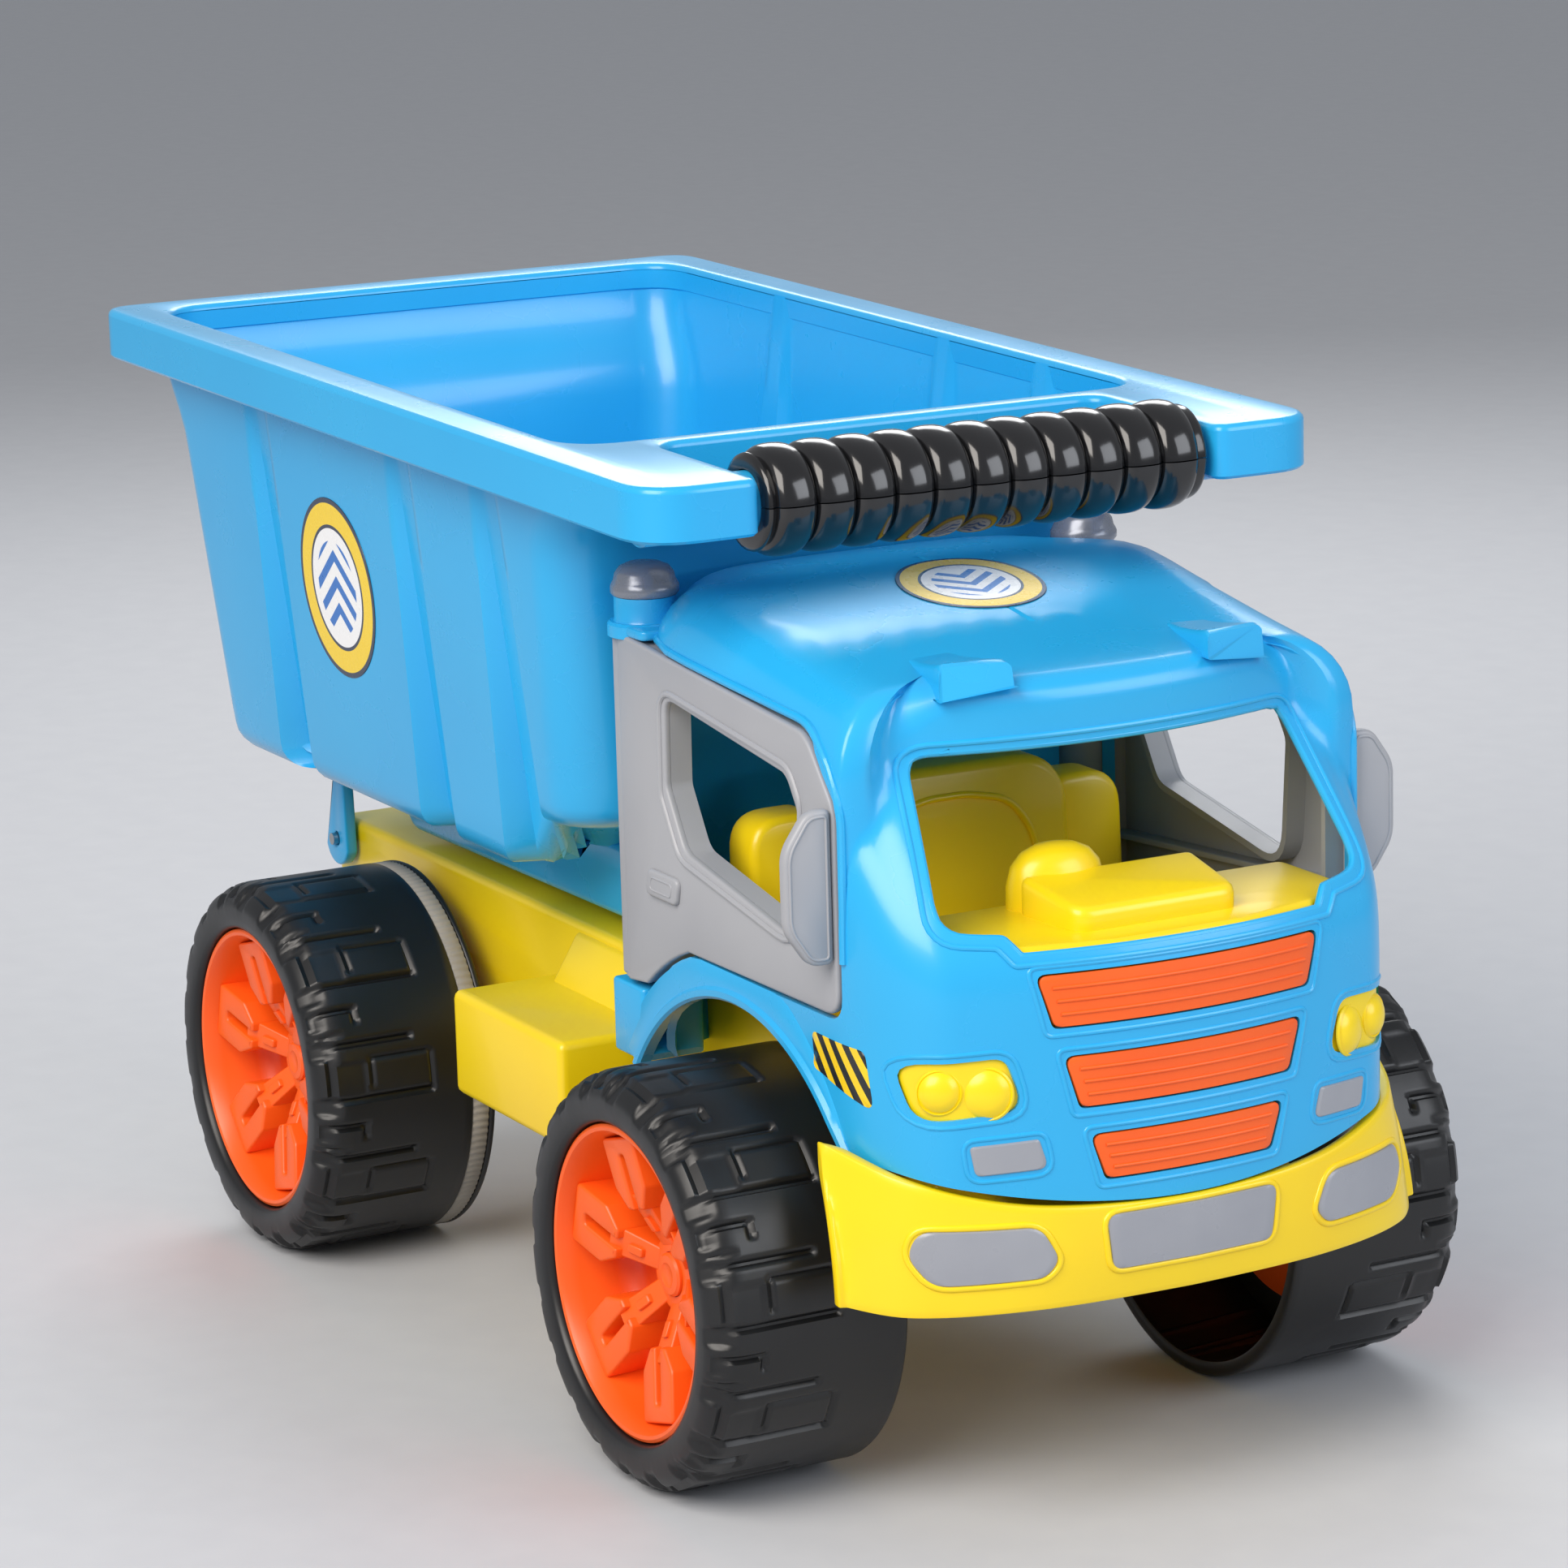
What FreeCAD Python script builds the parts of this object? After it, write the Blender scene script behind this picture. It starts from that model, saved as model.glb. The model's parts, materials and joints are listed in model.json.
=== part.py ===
import FreeCAD, Part
import math
import os
import Sketcher
from FreeCAD import Vector

# Toy dump truck, about half a metre long. +X is forward, +Y is the truck's left, +Z is up.
# The origin is under the middle of the truck, on the ground. All sizes are millimetres.

doc = FreeCAD.newDocument("toy_dump_truck")
sheet = doc.addObject("Spreadsheet::Sheet", "Dims")

driving = {
    # wheels and axles
    "tyre_radius": 60, "tyre_width": 60, "tyre_outer_y": 124, "tyre_shell": 4, "tyre_lip": 3,
    "rim_radius": 45.6, "rim_inset": 2.3, "rim_shell": 3, "rim_depth": 20, "hub_radius": 9,
    "hub_inner_y": 58.5, "hub_cap_radius": 6.5, "hub_cap_thick": 3, "spoke_window": 9.5,
    "window_circle": 28, "window_count": 6, "axle_radius": 3, "running_gap": 0.08, "fit_gap": 0.3,
    "push_nut_radius": 5, "push_nut_thick": 2, "grip_ring_width": 6, "grip_ring_inset": 2,
    "grip_ring_deep": 2,
    # where the axles are
    "front_axle_x": 143.5, "wheelbase": 265.5,
    # chassis, heights above the tyre tops
    "chassis_half": 55, "chassis_rise": 1, "chassis_depth": 71, "chassis_wall": 3,
    "chassis_front": 60, "tail_length": 79, "tail_depth": 25, "boss_radius": 9,
    "step_rear": 168, "step_front": 92, "step_half": 95, "step_top": 22, "step_depth": 27,
    "tongue_front": 96, "tongue_half": 44, "tongue_top": 28, "tongue_depth": 14,
    # hinge pin of the bucket, behind the rear axle and below the tyre tops
    "hinge_back": 68.3, "hinge_drop": 5.5, "hinge_pin_radius": 2, "hinge_pin_half": 57.5,
    "leg_inner": 56, "leg_thick": 4.5, "leg_half": 9,
    # cab, measured from the front axle and from the tyre tops
    "cab_rear": 79, "cab_half": 83, "cab_front": 108.7, "cab_curve": 125, "cab_corner": 20,
    "cab_wall": 2.5, "cab_belt": 46, "cab_top": 142, "screen_lean": 0.437,
    "roof_rear_z": 124.5, "roof_crest_z": 127.5, "roof_crest": 30, "roof_front_z": 112.5,
    "roof_front": 65, "roof_round": 20, "roof_corner": 46,
    "arch_gap": 15, "sill_band": 13, "sill_rise": 85, "seam_middle": 26.5, "seam_side": 9.5,
    "light_half": 13, "light_y": 41, "light_length": 27, "light_height": 9,
    # bumper
    "bumper_front": 110.5, "bumper_half": 94, "bumper_bottom": 54, "bumper_wall": 3,
    # exhaust stacks over the door hinges
    "stack_x": 68, "stack_y": 73.8, "stack_radius": 9.1, "collar_radius": 11.4, "collar_height": 4,
    "collar_z": 109, "stack_height": 7.5, "cap_radius": 10, "cap_height": 9.5,
    # doors
    "door_face": 84, "door_thick": 6, "door_skin": 2, "door_front": 60, "door_top": 111,
    "door_gap": 0.8, "door_low_z": 7, "pin_radius": 2, "pin_length": 5, "column_radius": 9,
    "mirror_out": 14, "mirror_thick": 3, "mirror_low": 36, "mirror_high": 82,
    # cabin
    "seat_half": 41, "seat_back_x": 50, "seat_face_x": 25, "seat_height": 68, "shelf_height": 58,
    "seat_base_rise": 27, "seat_front_x": 32, "base_half": 60,
    "dash_rear": 54, "dash_z": 44, "dash_thick": 4, "dash_half": 66, "binnacle_half": 28,
    "binnacle_height": 9, "binnacle_front": 92, "binnacle_rear": 64,
    # lamps and grille
    "insert_gap": 0.15, "insert_proud": 0.8, "lens_proud": 2, "insert_depth": 2.5,
    # dump bucket
    "bucket_wall": 3, "bucket_rear_top": 109.5, "bucket_rear_low": 98, "bucket_half_top": 97,
    "bucket_half_low": 88, "groove_top": 2, "groove_low": 9, "bucket_front_low": 88,
    "bucket_front_top": 82, "bucket_low_z": 27, "bucket_step_z": 45, "bucket_step": 42,
    "bucket_high_z": 145, "tub_half": 50, "tub_low_z": 4, "tub_rear": 37, "tub_front": 92,
    "groove_one": 78, "groove_two": 188, "groove_three": 38, "groove_half": 12,
    # bucket rim and handle
    "rim_half": 110.4, "rim_rear": 131.8, "rim_front": 6.5, "rim_corner": 33, "rim_tail_corner": 12,
    "rim_top_rear": 172, "rim_top_front": 164, "rim_skirt": 16, "rim_plate": 3, "rim_open_half": 95,
    "rim_open_rear": 117, "rim_open_front": 68, "slot_rear": 60, "slot_front": 25, "slot_half": 74,
    "grip_half": 71.5, "grip_radius": 15, "grip_x": 8.5, "grip_z": 155, "grip_bar": 9, "rib_count": 11,
    "rib_depth": 2,
    # stickers
    "badge_radius": 22, "badge_x": 9, "side_badge_height": 58, "side_badge_length": 42,
    "side_badge_x": 134, "side_badge_z": 95, "sticker": 0.3,
    # screws
    "screw_radius": 2, "screw_head": 3.6, "screw_length": 12,
}

derived = {
    "tyre_top": "=2 * tyre_radius",
    "rear_axle_x": "=front_axle_x - wheelbase",
    "tyre_inner_y": "=tyre_outer_y - tyre_width",
    "rim_face_y": "=tyre_outer_y - rim_inset",
    "bead_radius": "=rim_radius + fit_gap / 6",
    "chassis_top": "=tyre_top + chassis_rise",
    "arch_radius": "=tyre_radius + arch_gap",
    "hinge_x": "=rear_axle_x - hinge_back",
    "hinge_z": "=tyre_top - hinge_drop",
    "cab_rear_x": "=front_axle_x - cab_rear",
    "door_axis_x": "=front_axle_x - stack_x",
    "door_low": "=tyre_top + door_low_z",
    "collar_low": "=tyre_top + collar_z",
    "stack_top": "=tyre_top + collar_z + collar_height + stack_height",
    "nut_y": "=rim_face_y - rim_depth",
}

for row, (alias, value) in enumerate({**driving, **derived}.items(), start=1):
    sheet.set(f"A{row}", alias)
    sheet.set(f"B{row}", str(value))
    sheet.setAlias(f"B{row}", alias)
doc.recompute()

S = {alias: float(sheet.get(alias)) for alias in {**driving, **derived}}
nodes = {}


def keep(obj, name):
    """Give a finished sub-part its node name."""
    obj.Label = name
    nodes[name] = obj
    return obj


def bound(text):
    """Write a formula over the sheet's words as an expression."""
    words = sorted(S, key=len, reverse=True)
    out = ""
    token = ""
    for char in text + " ":
        if char.isalnum() or char == "_":
            token += char
            continue
        out += f"Dims.{token}" if token in words else token
        out += char
        token = ""
    return out.strip()


def block(name, x0, x1, y0, y1, z0, z1):
    """A box between six formulas."""
    obj = doc.addObject("Part::Box", name)
    obj.setExpression("Length", bound(f"({x1}) - ({x0})"))
    obj.setExpression("Width", bound(f"({y1}) - ({y0})"))
    obj.setExpression("Height", bound(f"({z1}) - ({z0})"))
    obj.setExpression("Placement.Base.x", bound(x0))
    obj.setExpression("Placement.Base.y", bound(y0))
    obj.setExpression("Placement.Base.z", bound(z0))
    return obj


def rod(name, radius, length, x, y, z, axis="z"):
    """A cylinder that starts at a point and runs along +Y or +Z."""
    obj = doc.addObject("Part::Cylinder", name)
    obj.setExpression("Radius", bound(radius))
    obj.setExpression("Height", bound(length))
    turn = -90 if axis == "y" else 0
    obj.Placement = FreeCAD.Placement(Vector(), FreeCAD.Rotation(Vector(1, 0, 0), turn))
    obj.setExpression("Placement.Base.x", bound(x))
    obj.setExpression("Placement.Base.y", bound(y))
    obj.setExpression("Placement.Base.z", bound(z))
    return obj


def joined(name, parts):
    obj = doc.addObject("Part::MultiFuse", name)
    obj.Shapes = parts
    return obj


def trimmed(name, base, tool):
    obj = doc.addObject("Part::Cut", name)
    obj.Base = base
    obj.Tool = tool
    return obj


def plane_of(body, role):
    return next(f for f in body.Origin.OriginFeatures if f.Role == role)


def turned(name, corners, x, z):
    """A body of revolution about an axle along Y: corners are (radius, y) formulas."""
    body = doc.addObject("PartDesign::Body", name)
    sketch = body.newObject("Sketcher::SketchObject", name + "_section")
    sketch.AttachmentSupport = [(plane_of(body, "XY_Plane"), "")]
    sketch.MapMode = "FlatFace"
    count = len(corners)
    guess = [Vector(20 + index, 3 * index * (count - index), 0) for index in range(count)]
    for index in range(count):
        sketch.addGeometry(Part.LineSegment(guess[index], guess[(index + 1) % count]))
    for index in range(count):
        sketch.addConstraint(Sketcher.Constraint("Coincident", index, 2, (index + 1) % count, 1))
    for index, (radius, y) in enumerate(corners):
        for kind, formula in (("DistanceX", radius), ("DistanceY", y)):
            if formula == "0":
                sketch.addConstraint(Sketcher.Constraint("PointOnObject", index, 1, -2))
                continue
            number = sketch.addConstraint(Sketcher.Constraint(kind, -1, 1, index, 1, 1.0 + index))
            sketch.setExpression(f"Constraints[{number}]", bound(formula))
    turn = body.newObject("PartDesign::Revolution", name + "_turn")
    turn.Profile = sketch
    turn.ReferenceAxis = (sketch, ["V_Axis"])
    turn.Angle = 360
    body.setExpression("Placement.Base.x", bound(x))
    body.setExpression("Placement.Base.z", bound(z))
    return body


def feature(name, shape):
    """A sub-part whose shape is worked out below."""
    obj = doc.addObject("Part::Feature", name)
    obj.Shape = shape
    return keep(obj, name)


def rounded(corners, closed_face=True):
    """A flat face from (point, corner radius) pairs, in order round its edge."""
    edges = []
    count = len(corners)
    arcs = []
    for index, (point, radius) in enumerate(corners):
        back = (corners[index - 1][0] - point).normalize()
        ahead = (corners[(index + 1) % count][0] - point).normalize()
        half = back.getAngle(ahead) / 2
        if radius <= 0 or half > math.pi / 2 - 0.01:
            arcs.append((point, None, point))
            continue
        reach = radius / math.tan(half)
        centre = point + (back + ahead).normalize() * (radius / math.sin(half))
        middle = centre + (point - centre).normalize() * radius
        arcs.append((point + back * reach, middle, point + ahead * reach))
    for index, (start, middle, end) in enumerate(arcs):
        if middle is not None:
            edges.append(Part.Arc(start, middle, end).toShape())
        after = arcs[(index + 1) % count][0]
        if end.distanceToPoint(after) > 1e-6:
            edges.append(Part.LineSegment(end, after).toShape())
    wire = Part.Wire(edges)
    return Part.Face(wire) if closed_face else wire


def prism(corners, axis, low, high):
    """A bar: (u, v, radius) corners, drawn across `axis` and run from low to high along it."""
    place = {
        "x": lambda u, v: Vector(low, u, v),
        "y": lambda u, v: Vector(u, low, v),
        "z": lambda u, v: Vector(u, v, low),
    }[axis]
    run = {"x": Vector(1, 0, 0), "y": Vector(0, 1, 0), "z": Vector(0, 0, 1)}[axis] * (high - low)
    return rounded([(place(u, v), radius) for u, v, radius in corners]).extrude(run)


def mirrored(shape):
    return shape.mirror(Vector(), Vector(0, 1, 0))


def slab(x0, x1, y0, y1, z0, z1):
    return Part.makeBox(x1 - x0, y1 - y0, z1 - z0, Vector(x0, y0, z0))


FX = S["front_axle_x"]
RX = S["rear_axle_x"]
TOP = S["tyre_top"]
AXLE_Z = S["tyre_radius"]
BIG = 600.0


# --- wheels: a hollow tyre, a dished rim, a cap over the axle's end -------------------------

def make_tyre(name, side, x, groove):
    ring_in = "tyre_inner_y + grip_ring_inset"
    ring_out = ring_in + " + grip_ring_width"
    channel = [
        ("tyre_radius", f"{side} * ({ring_out})"),
        ("tyre_radius - grip_ring_deep", f"{side} * ({ring_out})"),
        ("tyre_radius - grip_ring_deep", f"{side} * ({ring_in})"),
        ("tyre_radius", f"{side} * ({ring_in})"),
    ]
    corners = [
        ("bead_radius", f"{side} * tyre_outer_y"),
        ("tyre_radius - 8", f"{side} * tyre_outer_y"),
        ("tyre_radius", f"{side} * (tyre_outer_y - 9)"),
        *(channel if groove else []),
        ("tyre_radius", f"{side} * (tyre_inner_y + 1)"),
        ("tyre_radius - 1", f"{side} * tyre_inner_y"),
        ("tyre_radius - tyre_shell - 2", f"{side} * tyre_inner_y"),
        ("tyre_radius - tyre_shell", f"{side} * (tyre_outer_y - 14)"),
        ("bead_radius + tyre_lip", f"{side} * (tyre_outer_y - 14)"),
        ("bead_radius + tyre_lip", f"{side} * (rim_face_y - rim_depth - 1)"),
        ("bead_radius", f"{side} * (rim_face_y - rim_depth - 1)"),
    ]
    keep(turned(name, corners, x, "tyre_radius"), name)


def make_rim(name, side, x):
    corners = [
        ("axle_radius + running_gap", f"{side} * hub_inner_y"),
        ("hub_radius", f"{side} * hub_inner_y"),
        ("hub_radius", f"{side} * (rim_face_y - rim_depth - rim_shell)"),
        ("rim_radius", f"{side} * (rim_face_y - rim_depth - rim_shell)"),
        ("rim_radius", f"{side} * rim_face_y"),
        ("rim_radius - rim_shell", f"{side} * rim_face_y"),
        ("rim_radius - rim_shell - 4", f"{side} * (rim_face_y - rim_depth)"),
        ("hub_radius + 4", f"{side} * (rim_face_y - rim_depth)"),
        ("hub_radius + 2", f"{side} * (rim_face_y - rim_depth + 5)"),
        ("hub_cap_radius", f"{side} * (rim_face_y - rim_depth + 5)"),
        ("hub_cap_radius", f"{side} * nut_y"),
        ("axle_radius + running_gap", f"{side} * nut_y"),
    ]
    body = turned(name, corners, x, "tyre_radius")
    doc.recompute()
    sketch = body.newObject("Sketcher::SketchObject", name + "_window")
    sketch.AttachmentSupport = [(plane_of(body, "XZ_Plane"), "")]
    sketch.MapMode = "FlatFace"
    sketch.addGeometry(Part.Circle(Vector(0, 25, 0), Vector(0, 0, 1), 8))
    sketch.addConstraint(Sketcher.Constraint("PointOnObject", 0, 3, -2))
    number = sketch.addConstraint(Sketcher.Constraint("DistanceY", -1, 1, 0, 3, 25.0))
    sketch.setExpression(f"Constraints[{number}]", bound("window_circle"))
    number = sketch.addConstraint(Sketcher.Constraint("Radius", 0, 8.0))
    sketch.setExpression(f"Constraints[{number}]", bound("spoke_window"))
    whole = body.Shape.Volume
    hole = body.newObject("PartDesign::Pocket", name + "_hole")
    hole.Profile = sketch
    hole.Type = "ThroughAll"
    hole.Midplane = True
    doc.recompute()
    if hole.Shape.Volume > whole - 1:
        raise RuntimeError(name + " has no windows")
    pattern = body.newObject("PartDesign::PolarPattern", name + "_windows")
    pattern.Originals = [hole]
    pattern.Axis = (sketch, ["N_Axis"])
    pattern.Angle = 360
    pattern.setExpression("Occurrences", bound("window_count"))
    body.Tip = pattern
    keep(body, name)


def make_hub_cap(name, side, x):
    corners = [
        ("0", f"{side} * (rim_face_y - rim_depth + 5)"),
        ("hub_cap_radius - running_gap", f"{side} * (rim_face_y - rim_depth + 5)"),
        ("hub_cap_radius - running_gap", f"{side} * (rim_face_y - rim_depth + 5 - hub_cap_thick)"),
        ("0", f"{side} * (rim_face_y - rim_depth + 5 - hub_cap_thick)"),
    ]
    keep(turned(name, corners, x, "tyre_radius"), name)


def make_grip_ring(name, side, x):
    low = "tyre_inner_y + grip_ring_inset + running_gap"
    high = "tyre_inner_y + grip_ring_inset + grip_ring_width - running_gap"
    corners = [
        ("tyre_radius", f"{side} * ({low})"),
        ("tyre_radius", f"{side} * ({high})"),
        ("tyre_radius - grip_ring_deep + running_gap", f"{side} * ({high})"),
        ("tyre_radius - grip_ring_deep + running_gap", f"{side} * ({low})"),
    ]
    keep(turned(name, corners, x, "tyre_radius"), name)


for end, axle_x in (("front", "front_axle_x"), ("rear", "rear_axle_x")):
    for hand, side in (("left", "1"), ("right", "-1")):
        make_tyre(f"tyre_{end}_{hand}", side, axle_x, end == "rear")
        make_rim(f"rim_{end}_{hand}", side, axle_x)
        make_hub_cap(f"hub_cap_{end}_{hand}", side, axle_x)
    # the axle rod stops just inside the hub caps
    reach = "(rim_face_y - rim_depth + 5 - hub_cap_thick - 0.5)"
    keep(rod(f"axle_{end}", "axle_radius", f"2 * {reach}", axle_x, f"-{reach}", "tyre_radius", "y"),
         f"axle_{end}")

for hand, side in (("left", "1"), ("right", "-1")):
    make_grip_ring(f"grip_ring_rear_{hand}", side, "rear_axle_x")

# push nuts hold the wheels on: one washer on each axle end, 0.3 off the hub
nuts = []
for axle_x in (FX, RX):
    for side in (1, -1):
        start = Vector(axle_x, side * (S["nut_y"] + S["fit_gap"]), AXLE_Z)
        run = Vector(0, side, 0)
        disc = Part.makeCylinder(S["push_nut_radius"], S["push_nut_thick"] - S["fit_gap"], start, run)
        nuts.append(disc.cut(Part.makeCylinder(S["axle_radius"], 30, start - run * 5, run)))
feature("push_nuts", Part.makeCompound(nuts))


# --- chassis: an upside-down channel with side steps, axle tubes and a bumper tongue --------

def make_chassis():
    low = "chassis_top - chassis_depth"
    outer = block("channel", "rear_axle_x - 40", "front_axle_x + chassis_front", "-chassis_half",
                  "chassis_half", low, "chassis_top")
    tail = block("tail", "rear_axle_x - tail_length", "rear_axle_x - 30", "-chassis_half",
                 "chassis_half", "chassis_top - tail_depth", "chassis_top")
    steps = [block("step_" + hand, "front_axle_x - step_rear", "front_axle_x - step_front", y0, y1,
                   "tyre_top - step_top - step_depth", "tyre_top - step_top")
             for hand, y0, y1 in (("left", "chassis_half - 1", "step_half"),
                                  ("right", "-step_half", "1 - chassis_half"))]
    tongue = block("tongue", "front_axle_x + chassis_front - 10", "front_axle_x + tongue_front",
                   "-tongue_half", "tongue_half", "tyre_top - tongue_top - tongue_depth",
                   "tyre_top - tongue_top")
    hollow = block("hollow", "rear_axle_x - 40 + chassis_wall",
                   "front_axle_x + chassis_front - chassis_wall", "chassis_wall - chassis_half",
                   "chassis_half - chassis_wall", low + " - 1", "chassis_top - chassis_wall")
    tail_hollow = block("tail_hollow", "rear_axle_x - 38", "rear_axle_x - 28",
                        "chassis_wall - chassis_half", "chassis_half - chassis_wall",
                        "chassis_top - tail_depth - 1", "chassis_top - chassis_wall")
    step_hollows = [block("step_hollow_" + hand, "front_axle_x - step_rear + chassis_wall",
                          "front_axle_x - step_front - chassis_wall", y0, y1,
                          "tyre_top - step_top - step_depth - 1",
                          "tyre_top - step_top - chassis_wall")
                    for hand, y0, y1 in (("left", "chassis_half", "step_half - chassis_wall"),
                                         ("right", "chassis_wall - step_half", "-chassis_half"))]
    shell = trimmed("chassis_shell", joined("chassis_solid", [outer, tail, tongue] + steps),
                    joined("chassis_hollows", [hollow, tail_hollow] + step_hollows))
    tubes = [rod("axle_tube_" + end, "boss_radius", "2 * chassis_half + 2", x, "-chassis_half - 1",
                 "tyre_radius", "y") for end, x in (("front", "front_axle_x"), ("rear", "rear_axle_x"))]
    bores = [rod("axle_bore_" + end, "axle_radius + running_gap", "2 * chassis_half + 20", x,
                 "-chassis_half - 10", "tyre_radius", "y")
             for end, x in (("front", "front_axle_x"), ("rear", "rear_axle_x"))]
    bores.append(rod("hinge_bore", "hinge_pin_radius + running_gap", "2 * chassis_half + 20",
                     "hinge_x", "-chassis_half - 10", "hinge_z", "y"))
    keep(trimmed("chassis_frame", joined("chassis_body", [shell] + tubes),
                 joined("chassis_bores", bores)), "chassis_frame")


make_chassis()
keep(rod("hinge_pin", "hinge_pin_radius", "2 * (leg_inner + leg_thick + 1.5)", "hinge_x",
         "-leg_inner - leg_thick - 1.5", "hinge_z", "y"), "hinge_pin")


# --- cab ------------------------------------------------------------------------------------

def plan_face(front, half, rear, z, curve):
    """One level of the cab: straight sides, a bowed front, rounded front corners."""
    edge = half - S["cab_corner"] * 0.5
    bow = front - curve + math.sqrt(curve ** 2 - edge ** 2)
    side = bow - S["cab_corner"] * 0.9
    nose = Part.Arc(Vector(bow, -edge, z), Vector(front, 0, z), Vector(bow, edge, z)).toShape()
    corners = []
    for sign in (1, -1):
        inner = Vector(bow, sign * edge, z)
        outer = Vector(side, sign * half, z)
        middle = Vector((bow * 0.62 + side * 0.38), sign * (half * 0.72 + edge * 0.28), z)
        corners.append(Part.Arc(inner, middle, outer).toShape())
    left, right = Vector(side, half, z), Vector(side, -half, z)
    back_left, back_right = Vector(rear, half, z), Vector(rear, -half, z)
    lines = [Part.LineSegment(left, back_left).toShape(),
             Part.LineSegment(back_left, back_right).toShape(),
             Part.LineSegment(back_right, right).toShape()]
    return Part.Wire([nose, corners[0]] + lines + [corners[1]])


def cab_block(inset):
    """The cab's outside, pulled in by `inset` on every face but the bottom."""
    belt = TOP + S["cab_belt"]
    high = TOP + S["cab_top"]
    front = FX + S["cab_front"] - inset
    lean = S["screen_lean"] * (high - belt)
    half = S["cab_half"] - inset
    rear = S["cab_rear_x"] + inset
    curve = S["cab_curve"] - inset
    low = TOP - S["bumper_bottom"]
    stack = [plan_face(front, half, rear, low, curve), plan_face(front, half, rear, belt, curve)]
    lower = Part.makeLoft(stack, True, True)
    stack = [plan_face(front, half, rear, belt, curve), plan_face(front - lean, half, rear, high, curve)]
    upper = Part.makeLoft(stack, True, True)
    whole = lower.fuse(upper).removeSplitter()
    roof_rear = TOP + S["roof_rear_z"] - inset
    roof_front = TOP + S["roof_front_z"] - inset
    brow = FX + S["roof_front"]
    side_view = prism([(rear - 1, low - 1, 0), (FX + BIG / 3, low - 1, 0), (FX + BIG / 3, belt + 10, 0),
                       (brow + 21, roof_front - 15, 4), (brow, roof_front, 14),
                       (FX - S["roof_crest"], TOP + S["roof_crest_z"] - inset, 60),
                       (rear - 1, roof_rear, 0)], "y", -BIG / 2, BIG / 2)
    crown = TOP + S["roof_crest_z"] + 2 - inset
    turn = S["roof_round"] - inset
    wide = half + 0.3
    end_view = prism([(wide, low - 1, 0), (wide, crown - 2, turn), (0, crown, 80),
                      (-wide, crown - 2, turn), (-wide, low - 1, 0)], "x", rear - 2, FX + BIG / 3)
    whole = whole.common(side_view).common(end_view)
    # over the doors the rear corners are rounded off to make room for the exhaust stacks
    ledge = S["collar_low"] + S["collar_height"] - inset
    corner = S["roof_corner"] - inset
    above = prism([(rear, wide, corner), (FX + BIG / 3, wide, 0), (FX + BIG / 3, -wide, 0),
                   (rear, -wide, corner)], "z", ledge, TOP + BIG / 3)
    below = slab(rear - 1, FX + BIG / 3, -BIG / 3, BIG / 3, low - 1, ledge)
    return whole.common(above.fuse(below))


def wheel_arch(radius, half):
    start = Vector(FX, -half, AXLE_Z)
    return Part.makeCylinder(radius, 2 * half, start, Vector(0, 1, 0))


def seam_tool(offset):
    """Everything below the line where the cab meets the bumper."""
    side = TOP - S["seam_side"] + offset
    middle = TOP - S["seam_middle"] + offset
    y = S["bumper_half"]
    x = S["cab_rear_x"] - 5
    top = Part.Arc(Vector(x, -y, side), Vector(x, 0, middle), Vector(x, y, side)).toShape()
    points = [Vector(x, y, side), Vector(x, y, 0), Vector(x, -y, 0), Vector(x, -y, side)]
    lines = [Part.LineSegment(points[i], points[i + 1]).toShape() for i in range(3)]
    return Part.Face(Part.Wire([top] + lines)).extrude(Vector(BIG, 0, 0))


def door_outline(grow):
    """Side view of the door, (x, z, corner radius), pushed out by `grow` all round."""
    arc = S["arch_radius"] + S["sill_band"] - grow
    rear = S["door_axis_x"]
    points = []
    for degrees in (128, 116, 104):
        angle = math.radians(degrees)
        points.append((FX + arc * math.cos(angle), AXLE_Z + arc * math.sin(angle), 0))
    sill = AXLE_Z + S["sill_rise"] - grow
    front = FX + S["door_front"] + grow
    roof = TOP + S["door_top"] + grow
    return ([(rear, S["door_low"] - grow, 0)] + points
            + [(front, sill - 1, 7), (front, TOP + 82, 14), (front - 16, TOP + 101 + grow, 12),
               (rear, roof, 0)])


def door_window():
    """Side view of the window in the door."""
    return [(FX - 39, TOP + 96, 5), (FX + 33, TOP + 87, 6), (FX + 39, TOP + 78, 8),
            (FX + 36, TOP + 41, 3), (FX - 29, TOP + 53, 14), (FX - 39.5, TOP + 70, 20)]


def screen_outline(grow):
    """Front view of the windscreen opening."""
    half = [(64.5, 93.5, 6), (67.5, 51, 7), (51, 49.5, 2), (47.5, 44.7, 2)]
    left = [(y + grow, TOP + z + (grow if z > 90 else -grow), r) for y, z, r in half]
    return left + [(-y, z, r) for y, z, r in reversed(left)]


def slat_outlines(grow):
    """Front view of the three grille slats."""
    rows = [(45.2, 39.4, 40.8, 24.2), (38.2, 16.5, 33.7, 1.4), (31.1, -5.9, 26.7, -19.3)]
    return [[(top + grow, TOP + high + grow, 2), (low + grow, TOP + bottom - grow, 2),
             (-low - grow, TOP + bottom - grow, 2), (-top - grow, TOP + high + grow, 2)]
            for top, high, low, bottom in rows]


def headlight_outline(grow):
    return [(53.1 - grow, TOP + 16.6 + grow, 3), (48.5 - grow, TOP + 2.4 - grow, 3),
            (74 + grow, TOP - 0.1 - grow, 3), (77.5 + grow, TOP + 16.6 + grow, 3)]


def marker_outline(grow):
    return [(45.3 - grow, TOP - 6 + grow, 1.5), (42.6 - grow, TOP - 13.9 - grow, 2.5),
            (61.5 + grow, TOP - 14.6 - grow, 2), (63.3 + grow, TOP - 6.8 + grow, 1.5)]


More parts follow.
